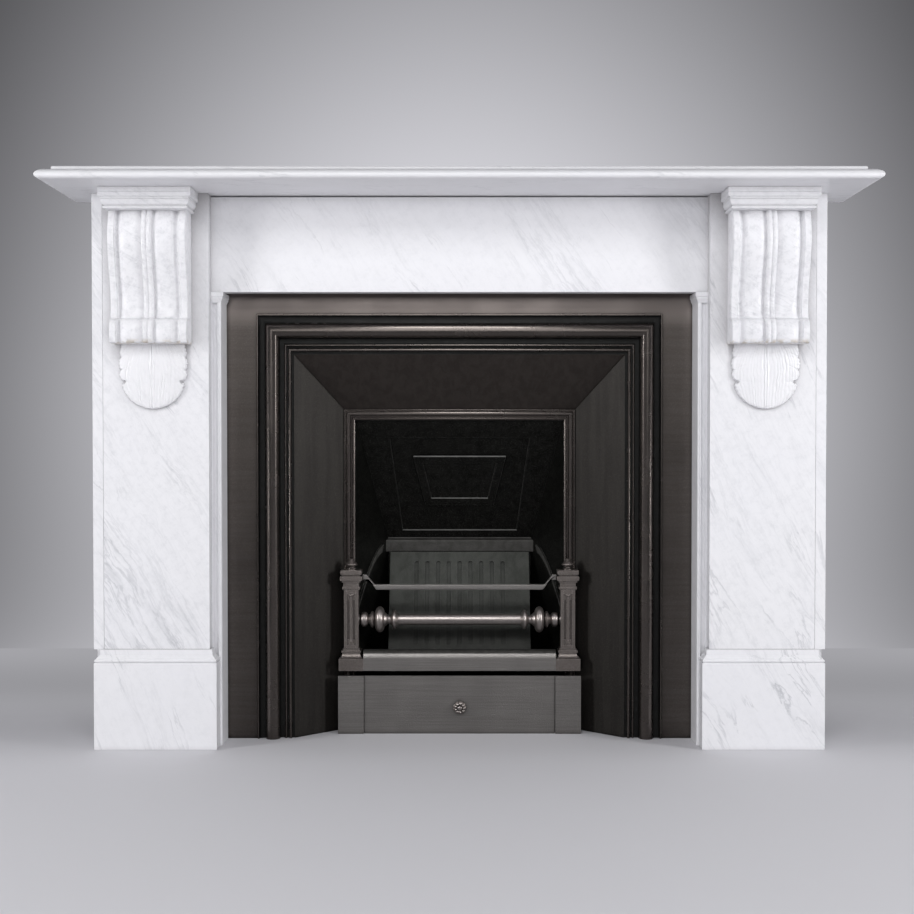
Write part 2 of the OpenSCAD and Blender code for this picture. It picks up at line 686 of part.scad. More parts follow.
// Flat rail whose ends crank up to the caps of the posts
module top_rail() {
    z = bar_z + 161;
    h = 11;
    reach = post_x - post_cap_w / 2;
    rise = bar_z + 44 + post_shaft_h + 18;
    outline = [[-reach, rise], [-reach, rise + h], [-reach + 8, rise + h], [-reach + 24, z + h],
        [reach - 24, z + h], [reach - 8, rise + h], [reach, rise + h], [reach, rise], [reach - 13, rise],
        [reach - 28, z], [28 - reach, z], [13 - reach, rise]];
    color(iron) in_place() run_y(post_y - h / 2, post_y + h / 2, outline);
}

// Turned roller between the posts: rod, collar, neck, bulb, ring and end ball
module roller_bar() {
    reach = post_x - post_shaft_w / 2;
    r = roller_d / 2;
    half = concat([[0, 0], [r, 0], [r, reach - 80], [r + 3, reach - 78]],
        arc([r + 2, reach - 72], 6, 4.2, -80, 80, 6),
        [[r - 2.5, reach - 62.5]],
        arc([r + 1, reach - 42.5], 13.8, 9.5, -85, 85, 10),
        arc([r - 0.5, reach - 27.5], 6, 2.8, -85, 85, 4),
        [[r - 2.5, reach - 20.5]],
        arc([r - 2.5, reach - 11.5], 6, 7.2, -85, 85, 6),
        [[r - 1, reach - 1.5], [r - 1, reach], [0, reach]]);
    color(iron) in_place() translate([0, post_y, bar_z + 101]) {
        for (side = [-1, 1]) on_side(side) rotate([0, 90, 0]) rotate_extrude() polygon(half);
    }
}

// Ash cover: sunk middle panel between two pilaster strips, with side wings that steady it
ash_x = post_x + post_base_w / 2 + 1;
module ash_cover() {
    inner = ash_x - ash_strip_w;
    wing_x = fire_x + 3;
    color(iron) in_place() union() {
        block([-ash_x, grate_y, 0], [ash_x, grate_y + 10, ash_cover_h]);
        for (side = [-1, 1]) on_side(side) {
            block([inner, grate_y - 3, 0], [ash_x, grate_y + eps, ash_cover_h]);
            block([wing_x, grate_y + 8, 0], [wing_x + 10, bead_y, ash_cover_h - 6]);
        }
    }
}

// Rosette knob: a boss with a ring of petals
module ash_cover_knob() {
    petals = 9;
    r = knob_d / 2;
    color(iron) in_place() translate([0, grate_y, ash_cover_h / 2 - 5]) rotate([90, 0, 0]) {
        rotate_extrude() polygon([[0, 0], [r * 0.55, 0], [r * 0.45, 4], [r * 0.5, 6], [r * 0.72, 8],
            [r * 0.72, 10], [r * 0.5, 12], [r * 0.36, 14], [0, 15]]);
        for (k = [0:petals - 1]) rotate([0, 0, 360 * k / petals]) translate([r * 0.76, 0, 7])
            cylinder(h = 4, r = r * 0.24);
    }
}

shelf();
frieze();
jamb_left();
jamb_right();
jamb_return_left();
jamb_return_right();
foot_block_left();
foot_block_right();
slip_left();
slip_right();
corbel_cap_left();
corbel_cap_right();
corbel_left();
corbel_right();
corbel_leaf_left();
corbel_leaf_right();
front_plate();
cheek_left();
cheek_right();
hood();
bead_frame();
chamber_side_left();
chamber_side_right();
chamber_back();
damper_flap();
fireback();
bottom_bar();
post_left();
post_right();
top_rail();
roller_bar();
ash_cover();
ash_cover_knob();
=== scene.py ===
import math
import bpy
import bmesh
import numpy as np
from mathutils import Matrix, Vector


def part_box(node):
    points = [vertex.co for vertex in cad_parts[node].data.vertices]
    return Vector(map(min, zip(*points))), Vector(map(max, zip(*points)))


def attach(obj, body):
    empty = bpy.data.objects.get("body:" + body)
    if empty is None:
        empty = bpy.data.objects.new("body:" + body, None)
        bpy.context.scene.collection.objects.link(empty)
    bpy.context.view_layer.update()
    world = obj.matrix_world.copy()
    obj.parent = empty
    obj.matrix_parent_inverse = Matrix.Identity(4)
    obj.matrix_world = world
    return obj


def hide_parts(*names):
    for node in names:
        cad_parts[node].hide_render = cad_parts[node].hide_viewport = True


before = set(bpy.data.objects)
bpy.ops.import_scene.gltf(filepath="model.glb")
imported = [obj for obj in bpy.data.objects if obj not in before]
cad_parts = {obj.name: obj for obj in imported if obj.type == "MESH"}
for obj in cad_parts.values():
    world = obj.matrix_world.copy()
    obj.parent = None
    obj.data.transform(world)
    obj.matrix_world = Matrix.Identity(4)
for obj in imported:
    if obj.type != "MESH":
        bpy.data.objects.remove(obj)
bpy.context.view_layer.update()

mm = 0.001
collection = bpy.context.scene.collection
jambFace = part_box("jamb_left")[0].y          # every depth below is counted back from here
print("frame loaded")


# node helpers

def addNode(tree, kind, **settings):
    node = tree.nodes.new(kind)
    for name, value in settings.items():
        setattr(node, name, value)
    return node


def wire(tree, source, target):
    tree.links.new(source, target)


def mathNode(tree, operation, first, second=None):
    node = addNode(tree, "ShaderNodeMath", operation=operation)
    for socket, value in zip(node.inputs, (first, second)):
        if value is None:
            continue
        if isinstance(value, (int, float)):
            socket.default_value = value
        else:
            wire(tree, value, socket)
    return node.outputs[0]


def times(tree, first, second):
    return mathNode(tree, "MULTIPLY", first, second)


def ramp(tree, source, low, high, lowValue=0.0, highValue=1.0, smooth=True):
    node = addNode(tree, "ShaderNodeMapRange", interpolation_type="SMOOTHSTEP" if smooth else "LINEAR")
    wire(tree, source, node.inputs["Value"])
    for name, value in (("From Min", low), ("From Max", high), ("To Min", lowValue), ("To Max", highValue)):
        node.inputs[name].default_value = value
    return node.outputs["Result"]


def noise(tree, vector, scale, detail=4.0, roughness=0.55, distortion=0.0):
    node = addNode(tree, "ShaderNodeTexNoise")
    wire(tree, vector, node.inputs["Vector"])
    node.inputs["Scale"].default_value = scale
    node.inputs["Detail"].default_value = detail
    node.inputs["Roughness"].default_value = roughness
    node.inputs["Distortion"].default_value = distortion
    return node.outputs["Fac"]


def mixColour(tree, factor, first, second):
    node = addNode(tree, "ShaderNodeMix", data_type="RGBA")
    for socket, value in ((node.inputs[0], factor), (node.inputs[6], first), (node.inputs[7], second)):
        if isinstance(value, (int, float, tuple)):
            socket.default_value = value
        else:
            wire(tree, value, socket)
    return node.outputs[2]


def newGroup(name, inputs, outputs):
    group = bpy.data.node_groups.new(name, "ShaderNodeTree")
    for label, kind, default in inputs:
        socket = group.interface.new_socket(name=label, in_out="INPUT", socket_type=kind)
        if default is not None:
            socket.default_value = default
    for label, kind in outputs:
        group.interface.new_socket(name=label, in_out="OUTPUT", socket_type=kind)
    return group, addNode(group, "NodeGroupInput"), addNode(group, "NodeGroupOutput")


def objectPlace(tree):
    return addNode(tree, "ShaderNodeTexCoord").outputs["Object"]


def splitPlace(tree):
    split = addNode(tree, "ShaderNodeSeparateXYZ")
    wire(tree, objectPlace(tree), split.inputs[0])
    return split.outputs


def mixShaders(tree, factor, first, second):
    node = addNode(tree, "ShaderNodeMixShader")
    for source, socket in zip((factor, first, second), node.inputs):
        wire(tree, source, socket)
    return node.outputs[0]


def addBump(tree, shader, height, strength, distance):
    bump = addNode(tree, "ShaderNodeBump")
    bump.inputs["Strength"].default_value = strength
    bump.inputs["Distance"].default_value = distance
    wire(tree, height, bump.inputs["Height"])
    wire(tree, bump.outputs["Normal"], shader.inputs["Normal"])


def useGroup(tree, group, **values):
    node = addNode(tree, "ShaderNodeGroup", node_tree=group)
    for label, value in values.items():
        socket = node.inputs[label.replace("_", " ")]
        if isinstance(value, (int, float, tuple)):
            socket.default_value = value
        else:
            wire(tree, value, socket)
    return node


# shared surface effects

def makeEdgeGlintAndWear():
    # pale colour along convex edges: painted highlight on the arrises, broken up with noise like wear
    group, start, end = newGroup("edgeGlintAndWear",
        [("Radius", "NodeSocketFloat", 0.0015), ("Sharpness", "NodeSocketFloat", 6.0)],
        [("Edge", "NodeSocketFloat")])
    rounded = addNode(group, "ShaderNodeBevel", samples=4)
    wire(group, start.outputs["Radius"], rounded.inputs["Radius"])
    geometry = addNode(group, "ShaderNodeNewGeometry")
    dot = addNode(group, "ShaderNodeVectorMath", operation="DOT_PRODUCT")
    wire(group, rounded.outputs["Normal"], dot.inputs[0])
    wire(group, geometry.outputs["Normal"], dot.inputs[1])
    bent = mathNode(group, "SUBTRACT", 1.0, dot.outputs["Value"])
    strong = times(group, bent, start.outputs["Sharpness"])
    broken = noise(group, objectPlace(group), 160.0)
    patchy = times(group, strong, ramp(group, broken, 0.3, 0.6, 0.35, 1.0))
    wire(group, mathNode(group, "MINIMUM", patchy, 1.0), end.inputs["Edge"])
    return group


def makeCastGrain():
    group, start, end = newGroup("castGrain",
        [("Grain Size", "NodeSocketFloat", 900.0), ("Patch Size", "NodeSocketFloat", 18.0)],
        [("Grain", "NodeSocketFloat"), ("Patch", "NodeSocketFloat"), ("Height", "NodeSocketFloat")])
    place = objectPlace(group)
    fine = addNode(group, "ShaderNodeTexNoise")
    wire(group, place, fine.inputs["Vector"])
    wire(group, start.outputs["Grain Size"], fine.inputs["Scale"])
    fine.inputs["Detail"].default_value = 3.0
    broad = addNode(group, "ShaderNodeTexNoise")
    wire(group, place, broad.inputs["Vector"])
    wire(group, start.outputs["Patch Size"], broad.inputs["Scale"])
    broad.inputs["Detail"].default_value = 5.0
    pits = noise(group, place, 420.0, 2.0)
    height = mathNode(group, "ADD", times(group, fine.outputs["Fac"], 0.5),
        ramp(group, pits, 0.32, 0.5, 0.0, 0.6))
    wire(group, fine.outputs["Fac"], end.inputs["Grain"])
    wire(group, broad.outputs["Fac"], end.inputs["Patch"])
    wire(group, height, end.inputs["Height"])
    return group


def makeVeining():
    group, start, end = newGroup("marbleVeins",
        [("Offset", "NodeSocketVector", (0.0, 0.0, 0.0)), ("Turn", "NodeSocketVector", (0.0, 0.0, 0.0)),
         ("Streak", "NodeSocketFloat", 1.0), ("Vein", "NodeSocketFloat", 1.0),
         ("Mottle", "NodeSocketFloat", 0.4)],
        [("Tone", "NodeSocketFloat"), ("Cloud", "NodeSocketFloat"), ("Height", "NodeSocketFloat")])
    place = objectPlace(group)
    moved = addNode(group, "ShaderNodeMapping", vector_type="POINT")
    wire(group, place, moved.inputs["Vector"])
    wire(group, start.outputs["Offset"], moved.inputs["Location"])
    wire(group, start.outputs["Turn"], moved.inputs["Rotation"])
    bend = addNode(group, "ShaderNodeTexNoise")
    wire(group, moved.outputs["Vector"], bend.inputs["Vector"])
    bend.inputs["Scale"].default_value = 5.0
    bend.inputs["Detail"].default_value = 6.0
    shift = addNode(group, "ShaderNodeVectorMath", operation="MULTIPLY_ADD")
    wire(group, bend.outputs["Color"], shift.inputs[0])
    shift.inputs[1].default_value = (0.05, 0.05, 0.05)
    wire(group, moved.outputs["Vector"], shift.inputs[2])
    along = addNode(group, "ShaderNodeMapping", vector_type="POINT")
    wire(group, shift.outputs["Vector"], along.inputs["Vector"])
    along.inputs["Scale"].default_value = (1.0, 1.0, 0.11)

    # soft grey bands, hair lines that follow them, and a few longer veins
    band = ramp(group, noise(group, along.outputs["Vector"], 12.0, 4.0, 0.55), 0.45, 0.74)
    cloudy = ramp(group, noise(group, along.outputs["Vector"], 60.0, 6.0, 0.68), 0.42, 0.74)
    fine = mathNode(group, "ABSOLUTE", mathNode(group, "SUBTRACT",
        noise(group, along.outputs["Vector"], 70.0, 5.0, 0.6, 0.3), 0.5))
    hair = mathNode(group, "SUBTRACT", 1.0, ramp(group, fine, 0.0, 0.055))
    soft = mathNode(group, "ADD", times(group, cloudy, 0.5),
        times(group, hair, 0.42))
    streaks = times(group, soft,
        mathNode(group, "ADD", times(group, band, 0.85), 0.12))
    ridge = mathNode(group, "ABSOLUTE", mathNode(group, "SUBTRACT",
        noise(group, along.outputs["Vector"], 13.0, 8.0, 0.62, 0.5), 0.5))
    sharp = mathNode(group, "SUBTRACT", 1.0, ramp(group, ridge, 0.0, 0.016))
    gate = ramp(group, noise(group, moved.outputs["Vector"], 7.0, 2.0), 0.46, 0.62)
    veins = times(group, times(group, sharp, gate), 0.7)
    mottle = ramp(group, noise(group, moved.outputs["Vector"], 75.0, 7.0, 0.7), 0.44, 0.72)

    tone = mathNode(group, "ADD",
        mathNode(group, "ADD", times(group, streaks, start.outputs["Streak"]),
            times(group, veins, start.outputs["Vein"])),
        times(group, mottle, start.outputs["Mottle"]))
    wire(group, mathNode(group, "MINIMUM", tone, 1.0), end.inputs["Tone"])
    wire(group, noise(group, moved.outputs["Vector"], 3.5, 3.0), end.inputs["Cloud"])
    wire(group, noise(group, place, 340.0, 4.0), end.inputs["Height"])
    return group


def makeCreviceShadeAndGrime():
    # darker where ambient occlusion finds close surfaces: painted shade in crevices and corners, and on the
    # iron also grime
    group, start, end = newGroup("creviceShadeAndGrime",
        [("Reach", "NodeSocketFloat", 0.015), ("Strength", "NodeSocketFloat", 1.0)],
        [("ShadeAndGrimeMask", "NodeSocketFloat")])
    hidden = addNode(group, "ShaderNodeAmbientOcclusion", samples=6)
    wire(group, start.outputs["Reach"], hidden.inputs["Distance"])
    closed = ramp(group, hidden.outputs["AO"], 0.25, 0.95, 1.0, 0.0)
    wire(group, times(group, closed, start.outputs["Strength"]), end.inputs["ShadeAndGrimeMask"])
    return group


def makeBrushing():
    group, start, end = newGroup("brushMarks",
        [("Stretch", "NodeSocketVector", (3.0, 60.0, 160.0))],
        [("Marks", "NodeSocketFloat")])
    place = objectPlace(group)
    pulled = addNode(group, "ShaderNodeVectorMath", operation="MULTIPLY")
    wire(group, place, pulled.inputs[0])
    wire(group, start.outputs["Stretch"], pulled.inputs[1])
    wire(group, noise(group, pulled.outputs["Vector"], 1.0, 5.0, 0.6, 0.6), end.inputs["Marks"])
    return group


edgeGlintAndWear = makeEdgeGlintAndWear()
castGrain = makeCastGrain()
creviceShadeAndGrime = makeCreviceShadeAndGrime()
brushMarks = makeBrushing()
marbleVeins = makeVeining()


# materials

def newMaterial(name):
    material = bpy.data.materials.new(name)
    material.use_nodes = True
    tree = material.node_tree
    return material, tree, tree.nodes["Principled BSDF"]


marbleLook = {
    "light": (0.80, 0.80, 0.835, 1.0),
    "warm": (0.815, 0.81, 0.825, 1.0),
    "grey": (0.30, 0.31, 0.34, 1.0),
    "stain": (0.36, 0.27, 0.14, 1.0),
    "creviceShade": (0.34, 0.33, 0.34, 1.0),
    "roughness": 0.34,
    "stainRise": 0.010, "stainStrength": 0.55,
    "bumpStrength": 0.06, "bumpDistance": 0.0006,
}


def marble(name, offset, lean, streak, vein, mottle, stainBelow=None, reach=0.012, cornerShade=0.40):
    # lean is the bed's angle in degrees; the last two arguments set the reach and strength of the painted
    # shade in the corners
    material, tree, shader = newMaterial(name)
    veins = useGroup(tree, marbleVeins, Offset=offset, Turn=(0.0, math.radians(lean), 0.0),
        Streak=streak, Vein=vein, Mottle=mottle)
    ground = mixColour(tree, veins.outputs["Cloud"], marbleLook["light"], marbleLook["warm"])
    colour = mixColour(tree, veins.outputs["Tone"], ground, marbleLook["grey"])
    if stainBelow is not None:
        near = ramp(tree, splitPlace(tree)["Z"], stainBelow, stainBelow + marbleLook["stainRise"], 1.0, 0.0)
        patchy = ramp(tree, noise(tree, objectPlace(tree), 70.0, 4.0), 0.42, 0.62)
        stained = times(tree, times(tree, near, patchy),
            marbleLook["stainStrength"])
        colour = mixColour(tree, stained, colour, marbleLook["stain"])
    # greyer in corners and beside proud parts: painted shade
    shadeAndGrime = useGroup(tree, creviceShadeAndGrime, Reach=reach, Strength=cornerShade)
    colour = mixColour(tree, shadeAndGrime.outputs["ShadeAndGrimeMask"], colour, marbleLook["creviceShade"])
    wire(tree, colour, shader.inputs["Base Color"])
    wire(tree, ramp(tree, veins.outputs["Height"], 0.3, 0.7, marbleLook["roughness"] - 0.05,
        marbleLook["roughness"] + 0.08), shader.inputs["Roughness"])
    addBump(tree, shader, veins.outputs["Height"], marbleLook["bumpStrength"], marbleLook["bumpDistance"])
    shader.inputs["Specular IOR Level"].default_value = 0.45
    return material


# a look without the edge entry has no painted highlight and wear on its arrises; rough, metal and grain are
# the surface's own
ironLook = {
    "plateIron": {
        "dark": (0.110, 0.096, 0.088), "light": (0.124, 0.109, 0.101), "wornAndGlint": (0.34, 0.30, 0.28),
        "rough": 0.34, "metal": 0.9, "grain": 0.05, "brush": (4.0, 40.0, 150.0),
        "paintedReflectionAbove": (0.80, 0.845, (0.235, 0.205, 0.192))},
    "splayIron": {
        "dark": (0.064, 0.054, 0.049), "light": (0.080, 0.068, 0.062), "wornAndGlint": (0.20, 0.18, 0.165),
        "rough": 0.45, "metal": 0.8, "grain": 0.12, "brush": (70.0, 70.0, 6.0)},
    "recessShadeIron": {
        "dark": (0.011, 0.011, 0.0105), "light": (0.015, 0.015, 0.0145), "wornAndGlint": (0.10, 0.10, 0.10),
        "rough": 0.5, "metal": 0.6, "grain": 0.05, "brush": (60.0, 60.0, 60.0), "shadeAndGrime": 0.0},
    "cheekIron": {
        "dark": (0.026, 0.0235, 0.0215), "light": (0.034, 0.031, 0.028), "wornAndGlint": (0.20, 0.18, 0.165),
        "rough": 0.45, "metal": 0.7, "grain": 0.12, "brush": (60.0, 60.0, 5.0)},
    "coverIron": {
        "dark": (0.285, 0.270, 0.260), "light": (0.330, 0.315, 0.304), "wornAndGlint": (0.70, 0.66, 0.64),
        "rough": 0.40, "metal": 0.9, "grain": 0.45, "brush": (8.0, 60.0, 420.0), "glintAndWear": 3.0},
    "rimHighlightIron": {
        "dark": (0.16, 0.16, 0.155), "light": (0.22, 0.22, 0.212), "wornAndGlint": (0.35, 0.35, 0.34),
        "rough": 0.5, "metal": 0.4, "grain": 0.3, "brush": (60.0, 60.0, 60.0)},
    "beadIron": {
        "dark": (0.160, 0.140, 0.130), "light": (0.172, 0.151, 0.140), "wornAndGlint": (0.42, 0.37, 0.345),
        "rough": 0.25, "metal": 0.95, "grain": 0.0, "brush": (30.0, 60.0, 30.0), "shadeAndGrime": 0.0},
    # dark iron deepened to near-black: painted shade inside the deep chamber
    "shadedChamberIron": {
        "dark": (0.010, 0.010, 0.0088), "light": (0.018, 0.018, 0.016), "wornAndGlint": (0.30, 0.30, 0.285),
        "rough": 0.42, "metal": 0.9, "grain": 0.3, "brush": (60.0, 60.0, 60.0), "glintAndWear": 7.0},
    "ledgeIron": {
        "dark": (0.060, 0.058, 0.054), "light": (0.085, 0.083, 0.078), "wornAndGlint": (0.20, 0.198, 0.19),
        "rough": 0.48, "metal": 0.7, "grain": 0.5, "brush": (60.0, 60.0, 60.0), "glintAndWear": 5.0},
    "firebackIron": {
        "dark": (0.046, 0.049, 0.043), "light": (0.066, 0.069, 0.062), "wornAndGlint": (0.17, 0.17, 0.163),
        "rough": 0.5, "metal": 0.6, "grain": 0.4, "brush": (50.0, 50.0, 20.0), "glintAndWear": 5.0,
        "darkerBelow": (0.17, 0.30)},
    "grateIron": {
        "dark": (0.235, 0.205, 0.190), "light": (0.28, 0.25, 0.235), "wornAndGlint": (0.60, 0.54, 0.51),
        "rough": 0.38, "metal": 0.93, "grain": 0.5, "brush": (260.0, 260.0, 260.0), "glintAndWear": 6.0},
    "rollerIron": {
        "dark": (0.48, 0.435, 0.415), "light": (0.55, 0.50, 0.48), "wornAndGlint": (0.60, 0.54, 0.52),
        "rough": 0.35, "metal": 0.97, "grain": 0.12, "brush": (200.0, 200.0, 200.0), "glintAndWear": 0.5},
}

ironSurface = {
    "edgeRadius": 0.0012, "shadeAndGrime": 0.8, "shadeAndGrimeReach": 0.010, "shadeAndGrimeTone": 0.12,
    "belowTone": (0.012, 0.012, 0.011, 1), "brushRise": 0.15, "bumpDistance": 0.0005,
}


def iron(name):
    look = ironLook[name]
    material, tree, shader = newMaterial(name)
    cast = useGroup(tree, castGrain)
    brush = useGroup(tree, brushMarks, Stretch=look["brush"])
    shadeAndGrimeStrength = look.get("shadeAndGrime", ironSurface["shadeAndGrime"])
    ground = mixColour(tree, ramp(tree, brush.outputs["Marks"], 0.35, 0.65),
        look["dark"] + (1,), look["light"] + (1,))
    colour = mixColour(tree, ramp(tree, cast.outputs["Grain"], 0.52, 0.78, 0.0, 0.35),
        ground, look["wornAndGlint"] + (1,))
    # pale arrises from the edge mask: painted highlight and wear
    if "glintAndWear" in look:
        edge = useGroup(tree, edgeGlintAndWear, Radius=ironSurface["edgeRadius"], Sharpness=look["glintAndWear"])
        colour = mixColour(tree, edge.outputs["Edge"], colour, look["wornAndGlint"] + (1,))
    # the plate is paler above a set height: a painted reflection of the lamps
    if "paintedReflectionAbove" in look:
        low, high, reflectionTone = look["paintedReflectionAbove"]
        colour = mixColour(tree, ramp(tree, splitPlace(tree)["Z"], low, high), colour, reflectionTone + (1,))
    # darker towards the bottom
    if "darkerBelow" in look:
        low, high = look["darkerBelow"]
        darkening = ramp(tree, splitPlace(tree)["Z"], low, high, 0.75, 0.0)
        colour = mixColour(tree, darkening, colour, ironSurface["belowTone"])
    # near-black in crevices: painted shade and grime
    if shadeAndGrimeStrength > 0:
        shadeAndGrime = useGroup(tree, creviceShadeAndGrime, Reach=ironSurface["shadeAndGrimeReach"], Strength=shadeAndGrimeStrength)
        black = tuple(c * ironSurface["shadeAndGrimeTone"] for c in look["dark"]) + (1,)
        colour = mixColour(tree, shadeAndGrime.outputs["ShadeAndGrimeMask"], colour, black)
    wire(tree, colour, shader.inputs["Base Color"])
    wire(tree, ramp(tree, cast.outputs["Patch"], 0.3, 0.7, look["rough"] + 0.04, look["rough"] - 0.03),
        shader.inputs["Roughness"])
    shader.inputs["Metallic"].default_value = look["metal"]
    rise = mathNode(tree, "ADD", cast.outputs["Height"],
        times(tree, brush.outputs["Marks"], ironSurface["brushRise"]))
    addBump(tree, shader, rise, look["grain"], ironSurface["bumpDistance"])
    return material


metals = {name: iron(name) for name in ironLook}
print("materials ready")


# mesh helpers

def faceOutwards(bm):
    bmesh.ops.recalc_face_normals(bm, faces=bm.faces[:])


def cadMesh(node):
    # the node's own faces, welded, with the triangles of each flat face joined again
    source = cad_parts[node]
    bm = bmesh.new()
    points = [bm.verts.new(source.matrix_world @ v.co) for v in source.data.vertices]
    bm.verts.ensure_lookup_table()
    for polygon in source.data.polygons:
        try:
            bm.faces.new([points[i] for i in polygon.vertices])
        except ValueError:
            pass
    bmesh.ops.remove_doubles(bm, verts=bm.verts[:], dist=2e-6)
    bmesh.ops.dissolve_limit(bm, angle_limit=math.radians(0.6), verts=bm.verts[:], edges=bm.edges[:])
    faceOutwards(bm)
    return bm


def finishPiece(bm, name, material, node, sharp=40.0, weighted=True):
    mesh = bpy.data.meshes.new(name)
    for edge in bm.edges:
        edge.smooth = len(edge.link_faces) != 2 or edge.calc_face_angle(0.0) < math.radians(sharp)
    for face in bm.faces:
        face.smooth = True
    bm.to_mesh(mesh)
    bm.free()
    mesh.materials.append(material)
    piece = bpy.data.objects.new(name, mesh)
    collection.objects.link(piece)
    if weighted:
        modifier = piece.modifiers.new("evenShading", "WEIGHTED_NORMAL")
        modifier.keep_sharp = True
    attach(piece, "root")
    if node:
        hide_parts(*([node] if isinstance(node, str) else node))
    return piece


def easedEdges(bm, radius, corner=30.0, segments=2):
    # rounds every arris that turns more than the corner angle
    edges = [e for e in bm.edges if len(e.link_faces) == 2 and e.calc_face_angle(0.0) > math.radians(corner)]
    bmesh.ops.bevel(bm, geom=edges, offset=radius, offset_type="OFFSET", segments=segments, profile=0.5,
        affect="EDGES", clamp_overlap=True)


def easedCopy(node, name, material, radius):
    bm = cadMesh(node)
    easedEdges(bm, radius * mm)
    return finishPiece(bm, name, material, node)


def secondMaterial(piece, material, test):
    piece.data.materials.append(material)
    for face in piece.data.polygons:
        if test(face.center, face.normal):
            face.material_index = len(piece.data.materials) - 1


def closedRelief(front, back):
    # front is a grid of points [row][column]; the back is flat at one depth
    bm = bmesh.new()
    rows, columns = len(front), len(front[0])
    grid = [[bm.verts.new(p) for p in row] for row in front]
    for i in range(rows - 1):
        for j in range(columns - 1):
            bm.faces.new((grid[i][j], grid[i][j + 1], grid[i + 1][j + 1], grid[i + 1][j]))
    rim = [grid[0][j] for j in range(columns)] + [grid[i][-1] for i in range(1, rows)]
    rim += [grid[-1][j] for j in range(columns - 2, -1, -1)] + [grid[i][0] for i in range(rows - 2, 0, -1)]
    rear = [bm.verts.new((v.co.x, back, v.co.z)) for v in rim]
    count = len(rim)
    for k in range(count):
        m = (k + 1) % count
        bm.faces.new((rim[k], rear[k], rear[m], rim[m]))
    bm.faces.new(rear[::-1])
    faceOutwards(bm)
    return bm


def addBlock(bm, x0, x1, front, back, z0, z1):
    # front and back are millimetres behind the jamb face
    corners = [bm.verts.new((x * mm, jambFace + d * mm, z * mm)) for z in (z0, z1)
        for x, d in ((x0, front), (x1, front), (x1, back), (x0, back))]
    for loop in ((3, 2, 1, 0), (4, 5, 6, 7), (0, 1, 5, 4), (1, 2, 6, 5), (2, 3, 7, 6), (3, 0, 4, 7)):
        bm.faces.new([corners[i] for i in loop])


def addLathe(bm, profile, centre, segments):
    # profile is (distance along X, radius); ends are closed
    rings = []
    for along, radius in profile:
        ring = []
        for k in range(segments):
            a = 2 * math.pi * k / segments
            offset = (along, radius * math.cos(a), radius * math.sin(a))
            ring.append(bm.verts.new([c + o * mm for c, o in zip(centre, offset)]))
        rings.append(ring)
    for low, high in zip(rings, rings[1:]):
        for k in range(segments):
            m = (k + 1) % segments
            bm.faces.new((low[k], low[m], high[m], high[k]))
    bm.faces.new(rings[0][::-1])
    bm.faces.new(rings[-1])


def arcPoints(centreU, centreV, radiusU, radiusV, first, last, count=10):
    angles = [math.radians(first + (last - first) * k / count) for k in range(count + 1)]
    return [(centreU + radiusU * math.cos(a), centreV + radiusV * math.sin(a)) for a in angles]


def surroundSweep(profile, outX, outZ, headScale=1.0):
    # profile is (inwards from the outer edge, depth behind the jamb face), carried up, across and down
    bm = bmesh.new()
    rings = []
    for inward, depth in profile:
        x, z = (outX - inward) * mm, (outZ - inward * headScale) * mm
        rings.append([bm.verts.new((px, jambFace + depth * mm, pz))
            for px, pz in ((-x, 0.0), (-x, z), (x, z), (x, 0.0))])
    for first, second in zip(rings, rings[1:] + rings[:1]):
        for k in range(3):
            bm.faces.new((first[k], second[k], second[k + 1], first[k + 1]))
    for end in (0, 3):
        bm.faces.new([ring[end] for ring in rings])
    faceOutwards(bm)
    return bm


def returnedSweep(profile, centreX, halfWidth, projection, rear=0.0):
    # profile is (distance out, height), carried from the wall round the front and back to the wall
    bm = bmesh.new()
    rings = []
    for out, z in profile:
        x, y = (halfWidth + out) * mm, jambFace - (projection + out) * mm
        rings.append([bm.verts.new((centreX + px, py, z * mm))
            for px, py in ((-x, jambFace + rear), (-x, y), (x, y), (x, jambFace + rear))])
    for first, second in zip(rings, rings[1:]):
        for k in range(3):
            bm.faces.new((first[k], second[k], second[k + 1], first[k + 1]))
    bm.faces.new(rings[0])
    bm.faces.new(rings[-1])
    for first, second in zip(rings, rings[1:]):
        bm.faces.new((first[3], second[3], second[0], first[0]))
    faceOutwards(bm)
    return bm


# plain marble slabs

def easeTo(t):
    return (1 - math.cos(math.pi * min(1.0, max(0.0, t)))) / 2


footShape = {"proud": 12.0, "ogeeRise": 6.5, "bead": 3.0, "bandOut": 2.6, "bandHeight": 10.5}


def makeFootBlock(node, name, stone):
    low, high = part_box(node)
    f, top = footShape, high.z / mm
    band = top - f["bandHeight"]
    ogee = band - f["ogeeRise"]
    beadZ = ogee - f["bead"] - 0.6
    foot = beadZ - f["bead"]
    proud = f["proud"]
    profile = [(proud - 0.8, 0.0), (proud, 0.8), (proud, foot - 1.8), (proud - 0.6, foot - 1.0),
        (proud - 2.0, foot - 0.8), (proud - 2.0, foot)]
    profile += arcPoints(proud - 3.4, beadZ, 2.8, f["bead"], -75, 75, 10)
    profile += [(proud - 3.6, ogee - 0.3)]
    profile += [(proud - 3.6 - 4.6 * easeTo(k / 10), ogee + f["ogeeRise"] * k / 10) for k in range(11)]
    profile += [(f["bandOut"], band + 0.3), (f["bandOut"], top - 1.0), (f["bandOut"] - 1.0, top)]
    half = (high.x - low.x) / 2 / mm
    bm = returnedSweep(profile, (low.x + high.x) / 2, half - proud, (jambFace - low.y) / mm - proud,
        high.y - jambFace)
    finishPiece(bm, name, stone, node, 35.0)


